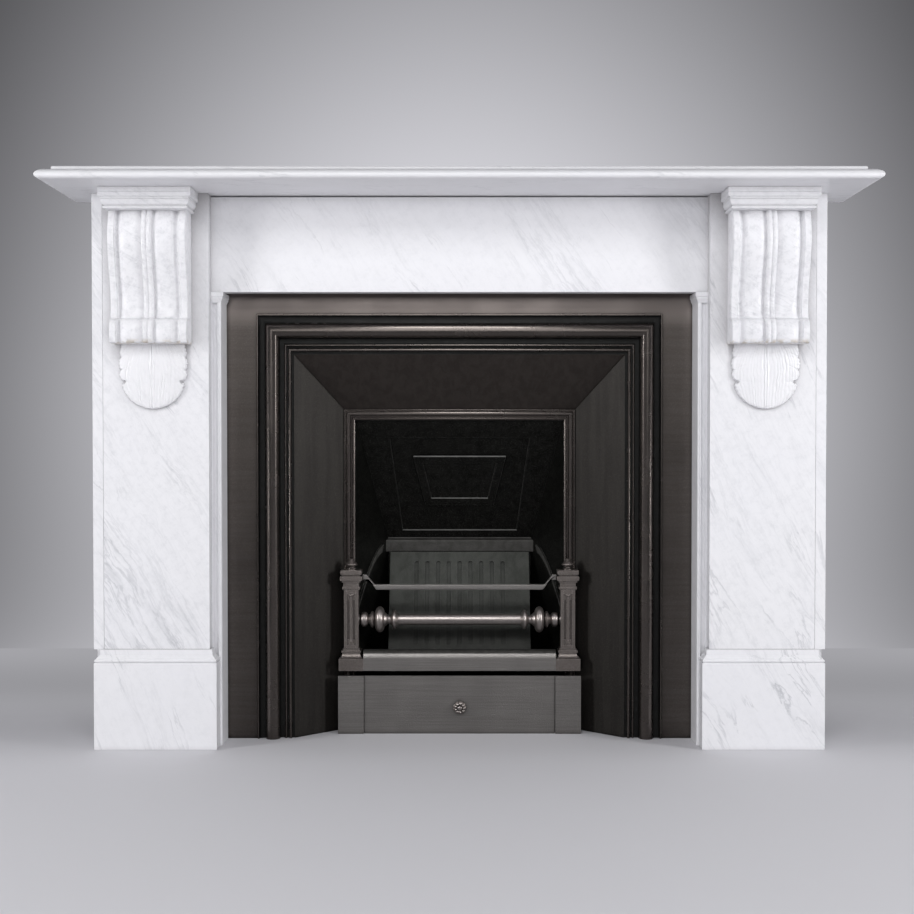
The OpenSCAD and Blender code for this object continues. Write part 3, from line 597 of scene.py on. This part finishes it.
# name, offset in the stone, lean of the bed in degrees, streak, vein and mottle strengths, arris in
# millimetres, then the reach in metres and the strength of the painted shade in the corners, which on the
# jambs reaches out as the corbels' shadow
slabs = {
    "shelf": ("shelfSlab", (0.3, 0.1, 0.0), 74, 0.25, 0.30, 0.03, 1.0, 0.012, 0.3),
    "frieze": ("friezeSlab", (1.7, 0.4, 0.2), 34, 0.50, 0.40, 0.08, 1.0, 0.030, 0.45),
    "jamb_left": ("jambSlabLeft", (0.6, 2.1, 0.3), 31, 0.95, 0.50, 0.13, 1.2, 0.060, 0.95),
    "jamb_right": ("jambSlabRight", (3.1, 1.4, 0.9), 28, 0.85, 0.45, 0.12, 1.2, 0.060, 0.95),
    "jamb_return_left": ("returnSlabLeft", (4.1, 0.2, 0.5), 30, 0.5, 0.4, 0.10, 1.0, 0.012, 0.4),
    "jamb_return_right": ("returnSlabRight", (5.3, 0.8, 1.5), 30, 0.5, 0.4, 0.10, 1.0, 0.012, 0.4),
    "foot_block_left": ("footBlockLeft", (6.4, 2.2, 0.1), 20, 0.42, 0.40, 0.06, 0.9, 0.012, 0.3),
    "foot_block_right": ("footBlockRight", (7.2, 1.9, 0.6), 30, 0.45, 0.55, 0.06, 0.9, 0.012, 0.3),
    "slip_left": ("slipLeft", (8.3, 0.9, 0.4), 25, 0.4, 0.2, 0.04, 0.6, 0.006, 0.12),
    "slip_right": ("slipRight", (9.1, 0.3, 0.8), 25, 0.4, 0.2, 0.04, 0.6, 0.006, 0.12),
}
for node, (name, offset, lean, streak, vein, mottle, radius, reach, cornerShade) in slabs.items():
    stone = marble(name + "Marble", offset, lean, streak, vein, mottle, None, reach, cornerShade)
    if node.startswith("foot_block"):
        makeFootBlock(node, name, stone)
    else:
        easedCopy(node, name, stone, radius)
print("marble slabs ready")


# corbels

corbelShape = {
    "rollHeight": 46.0, "waistHeight": 66.0, "swellDrop": 48.0,
    "waist": 34.0, "swell": 60.0, "head": 48.0, "roll": 50.0,
    "ribWidth": 9.5, "flangeWidth": 12.0, "fluteWidth": 14.0,
    "step": 0.9, "fluteDepth": 5.2,
}


def corbelDepth(z, height):
    c = corbelShape
    swellHeight = height - c["swellDrop"]
    if z <= c["rollHeight"]:
        half = c["rollHeight"] / 2
        return c["roll"] - 12 + 12 * math.sqrt(max(0.0, 1 - ((z - half + 3) / (half + 3)) ** 2))
    if z <= c["waistHeight"]:
        return c["waist"] + 3 * (1 - easeTo((z - c["rollHeight"]) / (c["waistHeight"] - c["rollHeight"])))
    if z <= swellHeight:
        climb = easeTo((z - c["waistHeight"]) / (swellHeight - c["waistHeight"]))
        return c["waist"] + (c["swell"] - c["waist"]) * climb
    turn = math.pi / 2 * (z - swellHeight) / c["swellDrop"]
    return c["swell"] - (c["swell"] - c["head"]) * (1 - math.cos(turn))


def corbelRelief(x, halfWidth):
    c = corbelShape
    x = abs(x)
    rib, flange = c["ribWidth"], halfWidth - c["flangeWidth"]
    fluteStart = flange - c["fluteWidth"]
    if x <= rib:
        bead = math.sqrt(max(0.0, 1 - ((x - rib / 2) / (rib / 2)) ** 2))
        return 1.5 + 4.0 * bead
    if x <= rib + 1.2:
        return -2.6
    if x <= fluteStart:
        return -3 + 5.0 * math.sin(math.pi * 0.86 * (x - rib) / (fluteStart - rib))
    if x <= flange:
        return -1.5 - c["fluteDepth"] * math.sin(math.pi * ((x - fluteStart) / (flange - fluteStart)) ** 1.5)
    edge = (x - (halfWidth - 2.0)) / 2.0
    return 1.0 - (1.6 * edge ** 2 if edge > 0 else 0.0)


def makeCorbel(side):
    low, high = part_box("corbel_" + side)
    width, height = (high.x - low.x) / mm, (high.z - low.z) / mm
    centre = (low.x + high.x) / 2
    half = width / 2
    across, upward = round(width / corbelShape["step"]), round(height / corbelShape["step"])
    columns = [-half + width * j / across for j in range(across + 1)]
    rows = [height * i / upward for i in range(upward + 1)]
    front = []
    for z in rows:
        depth = corbelDepth(z, height)
        quirk = 0.9 * math.exp(-((z - corbelShape["rollHeight"]) / 2.2) ** 2)
        footRound = 2.5 * max(0.0, 1 - z / 2.5) ** 2
        fade = 1.0 - 0.35 * math.exp(-((z - corbelShape["rollHeight"]) / 6.0) ** 2)
        front.append([(centre + x * mm,
            jambFace - (depth + corbelRelief(x, half) * fade - quirk - footRound) * mm,
            low.z + z * mm) for x in columns])
    bm = closedRelief(front, jambFace)
    stone = marble("corbelMarble" + side, (1.1 if side == "left" else 4.7, 5.2, 0.3), 66,
        0.40, 0.25, 0.26, stainBelow=low.z, cornerShade=0.25)
    finishPiece(bm, "corbelCarving" + side.capitalize(), stone, "corbel_" + side, 50.0, False)


for side in ("left", "right"):
    makeCorbel(side)
print("corbels carved")


capShape = {"abacus": 12.5, "shoulder": 8.5, "projection": 65.0, "halfWidth": 73.0}


def makeCorbelCap(side):
    low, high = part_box("corbel_cap_" + side)
    top, foot = high.z / mm, low.z / mm
    out, step = capShape["abacus"], capShape["shoulder"]
    profile = [(out - 1.0, top), (out, top - 1.0), (out, top - 9.0), (out - 0.9, top - 9.8),
        (out, top - 10.6), (out, top - 16.8), (out - 1.2, top - 18.0), (step + 0.5, top - 18.4),
        (step, top - 19.2), (step, top - 21.6), (step - 1.2, top - 22.4)]
    profile += arcPoints(2.5, top - 24.0, 6.0, 9.0, 10, -78, 8)
    profile += [(3.0, foot + 6.6), (2.6, foot + 5.6)]
    profile += arcPoints(2.8, foot + 3.0, 2.6, 2.4, 80, -70, 6) + [(1.2, foot)]
    bm = returnedSweep(profile, (low.x + high.x) / 2, capShape["halfWidth"], capShape["projection"])
    stone = marble("corbelCapMarble" + side, (2.6, 3.3 if side == "left" else 4.1, 0.7), 70,
        0.35, 0.2, 0.14)
    finishPiece(bm, "corbelCap" + side.capitalize(), stone, "corbel_cap_" + side, 32.0)


for side in ("left", "right"):
    makeCorbelCap(side)
print("corbel caps ready")


# leaves under the corbels

leafShape = {
    "relief": 13.0, "rows": 170, "columns": 150, "veinDepth": 1.1,
    "eyeDrop": 71.0, "eyeOut": 54.0, "eyeRadius": 3.2, "notches": (24.0, 49.0),
}
# half width of the leaf at distances down from the corbel, in millimetres
leafDrops = [0, 6, 14, 20, 24, 28, 36, 44, 49, 54, 60, 65,
    69, 71, 73, 77, 84, 92, 99, 106, 112, 117, 120, 122]
leafHalves = [60, 61, 63, 63, 60.5, 63.5, 65, 64, 61.5, 64, 64, 61,
    57, 53.5, 57, 59, 57, 53, 48.5, 42, 34, 24, 15, 4]


def leafHalf(drop):
    return float(np.interp(drop, leafDrops, leafHalves)) + 0.5 * math.sin(drop * 0.9) * (drop > 4)


def leafHeight(x, s, height):
    # x across from the stem, s down from the top, both in millimetres
    t = s / height
    half = leafHalf(s)
    u = min(1.0, abs(x) / max(half, 1.0))
    dome = 0.50 + 0.40 * (1 - u ** 3) * (1 - 0.3 * t)
    depth = leafShape["relief"] * dome
    fan = (x / (0.70 + 1.25 * t * (1 - t)) + 1.4 * math.sin(s / 13.0 + x / 15.0)
        + 0.5 * math.sin(s / 4.3 + x / 5.0))
    crease = lambda w: 1 - abs(math.sin(w)) ** 0.8
    deepness = 0.35 + 0.65 * abs(math.sin(fan * 0.37 + 1.0)) * (0.6 + 0.4 * math.sin(s / 17.0 + fan / 6.0))
    main, side = leafShape["veinDepth"], 0.4 * leafShape["veinDepth"]
    depth -= main * crease(math.pi * fan / 6.1 + 0.5 * math.sin(fan / 4.0)) * deepness
    depth -= side * crease(math.pi * (fan + 1.7) / 2.7 + 0.9 * math.sin(s / 9.0)) * deepness
    for notch in leafShape["notches"]:
        path = notch - 26.0 * (1 - u)
        depth -= 1.1 * math.exp(-((s - path) / 1.3) ** 2) * max(0.0, (u - 0.55) / 0.45)
    depth += 0.9 * math.exp(-((abs(x) - 2.4) / 1.3) ** 2)
    edge = min(1.0, (1 - u) * half / 2.8, (height - s) / 2.8)
    depth -= 3.4 * (1 - edge) ** 2
    hole = math.hypot(abs(x) - leafShape["eyeOut"], s - leafShape["eyeDrop"])
    eye = leafShape["eyeRadius"]
    depth -= 8.0 * (1 - (hole / eye) ** 4) if hole < eye else 0.0
    return max(0.6, depth)


def makeLeaf(side):
    low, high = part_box("corbel_leaf_" + side)
    height = (high.z - low.z) / mm
    centre = (low.x + high.x) / 2
    front = []
    for i in range(leafShape["rows"], -1, -1):
        t = i / leafShape["rows"]
        t = t if t < 0.7 else 0.7 + 0.3 * math.sin(math.pi / 2 * (t - 0.7) / 0.3)
        half = leafHalf(t * height)
        count = leafShape["columns"] // 2
        front.append([(centre + half * j / count * mm,
            jambFace - leafHeight(half * j / count, t * height, height) * mm,
            high.z - t * height * mm) for j in range(-count, count + 1)])
    bm = closedRelief(front, jambFace)
    stone = marble("leafMarble" + side, (2.2 if side == "left" else 6.9, 7.2, 0.8), 40,
        0.25, 0.05, 0.05)
    finishPiece(bm, "leafCarving" + side.capitalize(), stone, "corbel_leaf_" + side, 55.0, False)


for side in ("left", "right"):
    makeLeaf(side)
print("leaves carved")


# cast iron

# name, look, slot and arris in millimetres
castings = {
    "cheek_left": ("cheekLeft", "cheekIron", "plate_iron", 0.8),
    "cheek_right": ("cheekRight", "cheekIron", "plate_iron", 0.8),
    "hood": ("hoodPanel", "splayIron", "plate_iron", 0.8),
    "chamber_side_left": ("chamberWallLeft", "shadedChamberIron", "chamber_iron", 1.2),
    "chamber_side_right": ("chamberWallRight", "shadedChamberIron", "chamber_iron", 1.2),
    "chamber_back": ("chamberBack", "shadedChamberIron", "chamber_iron", 1.4),
    "damper_flap": ("damperFlap", "shadedChamberIron", "chamber_iron", 1.6),
    "fireback": ("fireback", "firebackIron", "chamber_iron", 0.9),
    "top_rail": ("topRail", "coverIron", "grate_iron", 1.6),
}
made = {}
for node, (name, metal, slotName, radius) in castings.items():
    made[node] = easedCopy(node, name, metals[metal], radius)

# heights in metres, the walls' half width and start in millimetres behind the jamb face
chamberShape = {
    "ledgeFoot": 0.350, "ledgeTop": 0.384, "rimTop": 0.46,
    "wallFoot": 212.5, "wallTaper": 62.5 / 106, "wallStart": 194, "wallLow": 0.24, "wallHigh": 0.38,
}
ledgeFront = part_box("fireback")[1].y + 12 * mm
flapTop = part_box("damper_flap")[1].z


def onWallFoot(c, n):
    edge = chamberShape["wallFoot"] - ((c.y - jambFace) / mm
        - chamberShape["wallStart"]) * chamberShape["wallTaper"] - 1.0
    return abs(c.x) / mm < edge and chamberShape["wallLow"] < c.z < chamberShape["wallHigh"]


secondMaterial(made["chamber_back"], metals["ledgeIron"],
    lambda c, n: chamberShape["ledgeFoot"] < c.z < chamberShape["ledgeTop"] and c.y < ledgeFront)
# upward and forward faces of the rim and flap turn paler: painted highlight where the light catches them
secondMaterial(made["chamber_back"], metals["rimHighlightIron"],
    lambda c, n: n.z > 0.3 and chamberShape["ledgeTop"] < c.z < chamberShape["rimTop"])
secondMaterial(made["damper_flap"], metals["rimHighlightIron"], lambda c, n: (n.z > 0.3 and c.z < flapTop - 20 * mm)
    or (c.z > flapTop - 13 * mm and n.y < -0.3 and n.z > -0.9))
# the fireback's flute walls turn near-black: painted shade in the grooves
secondMaterial(made["fireback"], metals["recessShadeIron"], lambda c, n: abs(n.x) > 0.6)
for node in ("chamber_side_left", "chamber_side_right"):
    secondMaterial(made[node], metals["ledgeIron"], onWallFoot)
print("plain castings ready")


# front plate and its mouldings

# the moulding's outer edge is frameHalf out and frameTop up; sunk lists its channels, which are painted
# near-black as shade
plateShape = {
    "face": 95.0, "frameHalf": 398.0, "frameTop": 836.0, "frameWidth": 72.5, "headWidth": 79.0,
    "torus": 15.5, "torusHalf": 13.6, "torusAt": 30.2, "reed": 2.6,
    "sunk": ((3.3, 16.4), (43.9, 54.0), (58.0, 61.7), (67.4, 80.0)),
}


def makeFrontPlate():
    low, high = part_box("front_plate")
    outX, outZ = high.x / mm, high.z / mm
    face, back = plateShape["face"], high.y / mm - jambFace / mm
    frameX, frameZ = plateShape["frameHalf"], plateShape["frameTop"]
    width = plateShape["frameWidth"]
    headScale = plateShape["headWidth"] / width
    sheet = surroundSweep([(0, face), (outX - frameX + 3, face), (outX - frameX + 3, back), (0, back)],
        outX, outZ, (outZ - frameZ) / (outX - frameX))
    easedEdges(sheet, 0.5 * mm, 60.0, 1)
    finishPiece(sheet, "frontPlate", metals["plateIron"], "front_plate")

    torus, at, reed = plateShape["torus"], plateShape["torusAt"], plateShape["reed"]
    profile = [(0, back), (0, face - 5.5), (0.8, face - 6.6), (2.6, face - 6.6), (3.2, face - 5.6)]
    profile += [(3.6, face - 2.0)] + arcPoints(10.5, face - 0.5, 6.6, 3.4, 178, 20, 10)
    profile += arcPoints(at, face - 0.5, plateShape["torusHalf"], torus, 186, 352, 26)
    profile += [(at + 14.0, face + 4.0), (at + 14.8, face + 6.8), (52.6, face + 6.8), (53.4, face + 4.5)]
    for centre, depth, size in ((56.0, 1.9, 1.7), (64.6, 0.9, reed)):
        profile += arcPoints(centre, face + depth, size, size, 185, 355, 10)
        profile += [(centre + size + 0.3, face + 6.5), (centre + size + 2.4, face + 6.5)]
    profile += [(70.6, back - 1), (width, back - 1), (width, back)]
    moulding = surroundSweep(profile, frameX, frameZ, headScale)
    piece = finishPiece(moulding, "plateMoulding", metals["beadIron"], None, 48.0)

    def inSunk(c, n):
        inward = min(frameX - abs(c.x) / mm, (frameZ - c.z / mm) / headScale)
        return any(first < inward < last for first, last in plateShape["sunk"])

    # the moulding's channels turn near-black: painted shade
    secondMaterial(piece, metals["recessShadeIron"], inSunk)


makeFrontPlate()

archShape = {"front": 179.0, "back": 194.0}


def makeArchFrame():
    low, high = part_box("bead_frame")
    front, back = archShape["front"], archShape["back"]
    profile = [(0, back), (0, front + 3.2)] + arcPoints(1.5, front + 3.2, 1.4, 1.4, 190, 350, 6)
    profile += [(3.2, front + 6.5), (4.2, front + 6.5)]
    profile += arcPoints(8.9, front + 4.8, 4.7, 4.7, 185, 355, 14)
    profile += [(13.9, front + 8.0), (16.6, front + 9.0), (17.0, front + 5.0)]
    profile += arcPoints(18.6, front + 4.8, 1.4, 1.4, 190, 350, 6)
    profile += [(22.0, front + 6.0), (22.0, back)]
    bm = surroundSweep(profile, high.x / mm, high.z / mm)
    finishPiece(bm, "archBead", metals["beadIron"], "bead_frame", 48.0)


makeArchFrame()
print("plate mouldings ready")


# grate

postShape = {
    "shaft": 29.0, "shaftFoot": 170.0, "shaftTop": 289.0, "strip": 5.6, "centre": 5.0, "proud": 1.8,
    "halfDepth": 20.5, "depthShare": (41, 49),
}


def makePost(side):
    node = "post_" + side
    low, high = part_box(node)
    centre = (low.x + high.x) / 2 / mm
    bm = cadMesh(node)
    easedEdges(bm, 0.7 * mm)
    finishPiece(bm, "post" + side.capitalize(), metals["grateIron"], node)

    # raised strips, head and foot blocks that frame two flutes up the shaft
    half, foot, top = postShape["shaft"] / 2, postShape["shaftFoot"], postShape["shaftTop"]
    deep, wide = postShape["depthShare"]
    spine = postShape["centre"] / 2
    face = (low.y - jambFace) / mm + postShape["halfDepth"] - half * deep / wide
    front = face - postShape["proud"]
    bm = bmesh.new()
    for edge in (-1, 1):
        outer, inner = centre + edge * (half - 0.2), centre + edge * (half - postShape["strip"])
        addBlock(bm, min(outer, inner), max(outer, inner), front, face + 2, foot + 1, top - 1)
    addBlock(bm, centre - spine, centre + spine, front, face + 2, foot + 16, top - 15)
    addBlock(bm, centre - half + 4, centre + half - 4, front + 0.4, face + 2, top - 9, top - 1)
    addBlock(bm, centre - half + 4, centre + half - 4, front + 0.4, face + 2, foot + 1, foot + 7)
    easedEdges(bm, 0.6 * mm, 60.0)
    for z, rise in ((top - 10, -9.0), (foot + 7, 13.0)):
        petal = ((-5.5, 0.6, 0), (5.5, 0.6, 0), (2.6, 0.6, rise * 0.6), (0, 0.4, rise),
            (-2.6, 0.6, rise * 0.6))
        base = [bm.verts.new(((centre + x) * mm, jambFace + (front + dy) * mm, (z + dz) * mm))
            for x, dy, dz in petal]
        rear = [bm.verts.new((v.co.x, v.co.y + 3 * mm, v.co.z)) for v in base]
        crown = bm.verts.new((centre * mm, jambFace + (front - 1.2) * mm, (z + rise * 0.35) * mm))
        for k in range(5):
            m = (k + 1) % 5
            bm.faces.new((base[k], base[m], crown))
            bm.faces.new((base[m], base[k], rear[k], rear[m]))
        bm.faces.new(rear[::-1])
    faceOutwards(bm)
    finishPiece(bm, "postStrips" + side.capitalize(), metals["grateIron"], None)


barShape = {"drop": 17.0, "run": 13.0, "depth": 21.0, "shelf": 8.0, "roundSteps": 14}


def makeBottomBar():
    low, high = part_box("bottom_bar")
    front, back = (low.y - jambFace) / mm, (high.y - jambFace) / mm
    foot, top = low.z / mm, high.z / mm
    drop, run = barShape["drop"], barShape["run"]
    steps = barShape["roundSteps"]
    turns = [math.pi / 2 * k / steps for k in range(1, steps + 1)]
    outline = [(front, foot), (front, top - drop)]
    outline += [(front + run * (1 - math.cos(a)), top - drop * (1 - math.sin(a))) for a in turns]
    outline += [(front + barShape["depth"], top), (front + barShape["depth"], foot + barShape["shelf"]),
        (back, foot + barShape["shelf"]), (back, foot)]
    bm = bmesh.new()
    ends = [[bm.verts.new((x, jambFace + d * mm, z * mm)) for d, z in outline] for x in (low.x, high.x)]
    for k in range(len(outline)):
        m = (k + 1) % len(outline)
        bm.faces.new((ends[0][k], ends[0][m], ends[1][m], ends[1][k]))
    bm.faces.new(ends[0][::-1])
    bm.faces.new(ends[1])
    faceOutwards(bm)
    easedEdges(bm, 0.5 * mm, 50.0)
    bar = finishPiece(bm, "bottomBar", metals["coverIron"], "bottom_bar", 45.0)
    # the bar's upward faces turn darker: painted shade for the dark room they mirror
    secondMaterial(bar, metals["ledgeIron"], lambda c, n: n.z > 0.55)


def makeRoller():
    low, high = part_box("roller_bar")
    centre = (0.0, (low.y + high.y) / 2, (low.z + high.z) / 2)
    # half of the bar from its middle outwards: (distance, radius) in millimetres
    half = [(0, 11.3), (123, 11.3), (124, 13.0), (125.5, 14.6)]
    half += arcPoints(131.0, 13.5, 4.2, 6.2, 160, 20, 10)
    half += [(136.2, 13.5), (137.2, 10.5), (140.5, 8.6), (144.5, 9.2), (147.5, 12.0), (149.0, 13.4)]
    half += arcPoints(160.5, 12.5, 9.5, 13.8, 172, 8, 20)
    half += [(171.5, 13.0), (173.0, 16.0), (175.5, 17.0), (178.0, 15.0), (179.5, 11.0), (182.5, 9.0),
        (184.0, 10.0)]
    half += arcPoints(191.5, 9.0, 7.2, 6.0, 165, 15, 10)
    half += [(199.6, 8.0), (201.5, 10.5), (203.0, 10.5)]
    profile = [(-t, r) for t, r in half[:0:-1]] + half[1:]
    bm = bmesh.new()
    addLathe(bm, profile, centre, 48)
    faceOutwards(bm)
    finishPiece(bm, "rollerBar", metals["rollerIron"], "roller_bar", 42.0)


coverShape = {"strip": 51.0, "seam": 1.6, "stripProud": 3.0, "tabIn": 215.5, "tabOut": 225.5}


def makeAshCover():
    low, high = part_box("ash_cover")
    outer, top = high.x / mm, high.z / mm
    front, back = (low.y - jambFace) / mm, (high.y - jambFace) / mm
    inner = outer - coverShape["strip"]
    panel = front + coverShape["stripProud"]
    bm = bmesh.new()
    addBlock(bm, -outer + 2, outer - 2, panel + 4, panel + 10, 1, top - 1)
    addBlock(bm, -inner + coverShape["seam"], inner - coverShape["seam"], panel, panel + 5, 0, top)
    for side in (-1, 1):
        first, second = sorted((side * inner, side * outer))
        addBlock(bm, first, second, front, panel + 5, 0, top)
        first, second = sorted((side * coverShape["tabIn"], side * coverShape["tabOut"]))
        addBlock(bm, first, second, panel + 9, back, 0, top - 6)
    easedEdges(bm, 1.1 * mm, 60.0, 3)
    finishPiece(bm, "ashCover", metals["coverIron"], "ash_cover")


knobShape = {"petals": 9, "rings": 22, "sectors": 108, "boss": 0.34, "neck": 0.5}


def makeKnob():
    low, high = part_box("ash_cover_knob")
    centreX, centreZ = (low.x + high.x) / 2, (low.z + high.z) / 2
    reach, radius = (high.y - low.y) / mm, (high.x - low.x) / 2 / mm
    boss, neckShare = knobShape["boss"], knobShape["neck"]
    bm = bmesh.new()
    rings = []
    for i in range(1, knobShape["rings"] + 1):
        rho = i / knobShape["rings"]
        ring = []
        for k in range(knobShape["sectors"]):
            a = 2 * math.pi * k / knobShape["sectors"]
            petal = abs(math.cos(knobShape["petals"] * a / 2)) ** 0.6
            edge = radius * rho * (1 - 0.10 * (1 - petal) * rho ** 3)
            if rho < boss:
                height = reach - 1.5 + 1.5 * math.sqrt(1 - (rho / boss) ** 2)
            else:
                part = (rho - boss) / 0.66
                swell = 0.6 + 3.6 * math.sin(math.pi * min(1.0, part * 1.05)) ** 0.7
                height = reach - 6.0 + swell * (0.25 + 0.75 * petal)
                height -= 3.0 * part ** 4
            ring.append(bm.verts.new((centreX + edge * math.cos(a) * mm, high.y - height * mm,
                centreZ + edge * math.sin(a) * mm)))
        rings.append(ring)
    tip = bm.verts.new((centreX, low.y, centreZ))
    neck = [bm.verts.new((centreX + (v.co.x - centreX) * neckShare, high.y - 0.2 * mm,
        centreZ + (v.co.z - centreZ) * neckShare)) for v in rings[-1]]
    rings.append(neck)
    count = knobShape["sectors"]
    for k in range(count):
        m = (k + 1) % count
        bm.faces.new((tip, rings[0][k], rings[0][m]))
        for inner, outer in zip(rings, rings[1:]):
            bm.faces.new((inner[k], outer[k], outer[m], inner[m]))
    bm.faces.new(neck)
    faceOutwards(bm)
    finishPiece(bm, "ashCoverKnob", metals["rollerIron"], "ash_cover_knob", 50.0, False)


makePost("left")
makePost("right")
makeRoller()
makeBottomBar()
makeAshCover()
makeKnob()
print("grate ready")


# floor, backdrop, light and camera

studio = {
    "floor": (0.67, 0.665, 0.692),
    "floorRear": (0.60, 0.595, 0.62),
    "floorMirrored": (0.24, 0.238, 0.245),
    "farLight": (0.88, 0.875, 0.93),
    "world": 0.23,
    "worldMirrored": 0.07,
    "worldColour": (0.93, 0.94, 1.0, 1.0),
    "floorHalf": 9, "sweepStart": 1.2, "sweepRadius": 0.9, "wallHalf": 7, "wallTop": 5.0,
}


def cameraGlow(tree, shader, level, factor=None):
    # a set brightness for the camera alone; every other ray meets plain matt paper
    colour = addNode(tree, "ShaderNodeVectorMath", operation="SCALE")
    colour.inputs[0].default_value = studio["farLight"]
    wire(tree, level, colour.inputs["Scale"])
    glow = addNode(tree, "ShaderNodeEmission")
    wire(tree, colour.outputs["Vector"], glow.inputs["Color"])
    seen = addNode(tree, "ShaderNodeLightPath").outputs["Is Camera Ray"]
    if factor is not None:
        seen = times(tree, seen, factor)
    return mixShaders(tree, seen, shader.outputs[0], glow.outputs[0])


def paperObject(name, bm, material):
    mesh = bpy.data.meshes.new(name)
    bm.to_mesh(mesh)
    bm.free()
    mesh.materials.append(material)
    paper = bpy.data.objects.new(name, mesh)
    collection.objects.link(paper)
    return paper


def makeFloor():
    half = studio["floorHalf"]
    bm = bmesh.new()
    bm.faces.new([bm.verts.new((x * half, y * half, 0.0)) for x, y in ((-1, -1), (1, -1), (1, 1), (-1, 1))])
    material, tree, shader = newMaterial("floorPaper")
    rearward = splitPlace(tree)["Y"]
    turned = ramp(tree, rearward, -0.22, 0.04)
    wire(tree, mixColour(tree, turned, studio["floor"] + (1,), studio["floorRear"] + (1,)),
        shader.inputs["Base Color"])
    shader.inputs["Roughness"].default_value = 0.75
    # behind the jamb face the floor glows for the camera alone, dimming and then rising towards the sweep:
    # painted light
    near = ramp(tree, rearward, 0.2, 0.62, 0.42, 0.355)
    far = ramp(tree, rearward, 0.62, 1.2, 0.0, 0.065)
    beyond = ramp(tree, rearward, 0.05, 0.5)
    mixed = cameraGlow(tree, shader, mathNode(tree, "ADD", near, far), beyond)
    dull = addNode(tree, "ShaderNodeBsdfDiffuse")
    dull.inputs["Color"].default_value = studio["floorMirrored"] + (1,)
    mirrored = addNode(tree, "ShaderNodeLightPath").outputs["Is Glossy Ray"]
    wire(tree, mixShaders(tree, mirrored, mixed, dull.outputs[0]),
        tree.nodes["Material Output"].inputs["Surface"])
    floor = paperObject("studioFloor", bm, material)


def makeBackdrop():
    # a sweep behind the object, seen from the front only
    start, radius, half = studio["sweepStart"], studio["sweepRadius"], studio["wallHalf"]
    turns = [math.pi / 2 * k / 16 for k in range(17)]
    profile = [(start + radius * math.sin(a), 0.002 + radius * (1 - math.cos(a))) for a in turns]
    profile += [(start + radius, studio["wallTop"])]
    bm = bmesh.new()
    left, right = [[bm.verts.new((x, y, z)) for y, z in profile] for x in (-half, half)]
    for k in range(len(profile) - 1):
        bm.faces.new((left[k], right[k], right[k + 1], left[k + 1])).smooth = True
    material, tree, shader = newMaterial("backdropPaper")
    shader.inputs["Base Color"].default_value = studio["floorRear"] + (1,)
    shader.inputs["Roughness"].default_value = 0.9
    place = splitPlace(tree)
    # for the camera the backdrop glows brightest low in the middle, falling off sideways and upward and
    # dimmer at the foot: a painted pool of light
    across = ramp(tree, mathNode(tree, "ABSOLUTE", place["X"]), 0.0, 2.2, 1.0, 0.10)
    upward = ramp(tree, place["Z"], 0.3, 2.9, 1.12, 0.25)
    foot = ramp(tree, place["Z"], 0.0, 0.9, 0.74, 0.95)
    level = times(tree, times(tree, across, upward), foot)
    front = cameraGlow(tree, shader, level)
    clear = addNode(tree, "ShaderNodeBsdfTransparent")
    behind = addNode(tree, "ShaderNodeNewGeometry").outputs["Backfacing"]
    wire(tree, mixShaders(tree, behind, front, clear.outputs[0]),
        tree.nodes["Material Output"].inputs["Surface"])
    backdrop = paperObject("studioBackdrop", bm, material)


def makeWorld():
    # even sky for matt surfaces, a dark room for anything that mirrors it
    world = bpy.data.worlds.new("studioWorld")
    bpy.context.scene.world = world
    world.use_nodes = True
    tree = world.node_tree
    background = tree.nodes["Background"]
    background.inputs["Color"].default_value = studio["worldColour"]
    mirrored = addNode(tree, "ShaderNodeLightPath").outputs["Is Glossy Ray"]
    level = ramp(tree, mirrored, 0.0, 1.0, studio["world"], studio["worldMirrored"], smooth=False)
    wire(tree, level, background.inputs["Strength"])


def softbox(name, place, aim, width, height, power, mirrored):
    data = bpy.data.lights.new(name, "AREA")
    data.shape, data.size, data.size_y, data.energy = "RECTANGLE", width, height, power
    lamp = bpy.data.objects.new(name, data)
    collection.objects.link(lamp)
    lamp.location = place
    lamp.visible_glossy = mirrored
    lamp.rotation_euler = (Vector(aim) - Vector(place)).to_track_quat("-Z", "Y").to_euler()


view = {
    "lens": 55.97, "distance": 2.7, "height": 0.595, "across": 0.003, "tilt": 1.2,
    "shiftX": -0.0044, "shiftY": 0.0105,
}


def makeCamera():
    data = bpy.data.cameras.new("camera")
    data.lens, data.sensor_width = view["lens"], 36.0
    data.shift_x, data.shift_y = view["shiftX"], view["shiftY"]
    camera = bpy.data.objects.new("camera", data)
    collection.objects.link(camera)
    camera.location = (view["across"], jambFace - view["distance"], view["height"])
    camera.rotation_euler = (math.radians(90 - view["tilt"]), 0.0, 0.0)
    bpy.context.scene.camera = camera


# place, aim, width, height, power in watts and whether shiny surfaces show the lamp
lamps = {
    "keyLeft": ((-2.2, -1.2, 1.0), (-0.5, 0.0, 0.7), 0.45, 0.8, 20, True),
    "keyRight": ((2.2, -1.2, 1.0), (0.5, 0.0, 0.7), 0.45, 0.8, 23, True),
    "front": ((-0.1, -3.5, 1.34), (0.0, 0.0, 0.55), 1.7, 0.72, 10, True),
    "overhead": ((-0.1, -2.3, 2.05), (0.0, 0.0, 0.75), 1.5, 0.7, 19, True),
    "low": ((0.0, -1.7, 0.15), (0.0, 0.1, 1.1), 2.4, 0.4, 5.5, False),
}
makeFloor()
makeBackdrop()
makeWorld()
for name, settings in lamps.items():
    softbox(name, *settings)
makeCamera()
bpy.context.scene.view_settings.view_transform = "Standard"
print("studio ready")
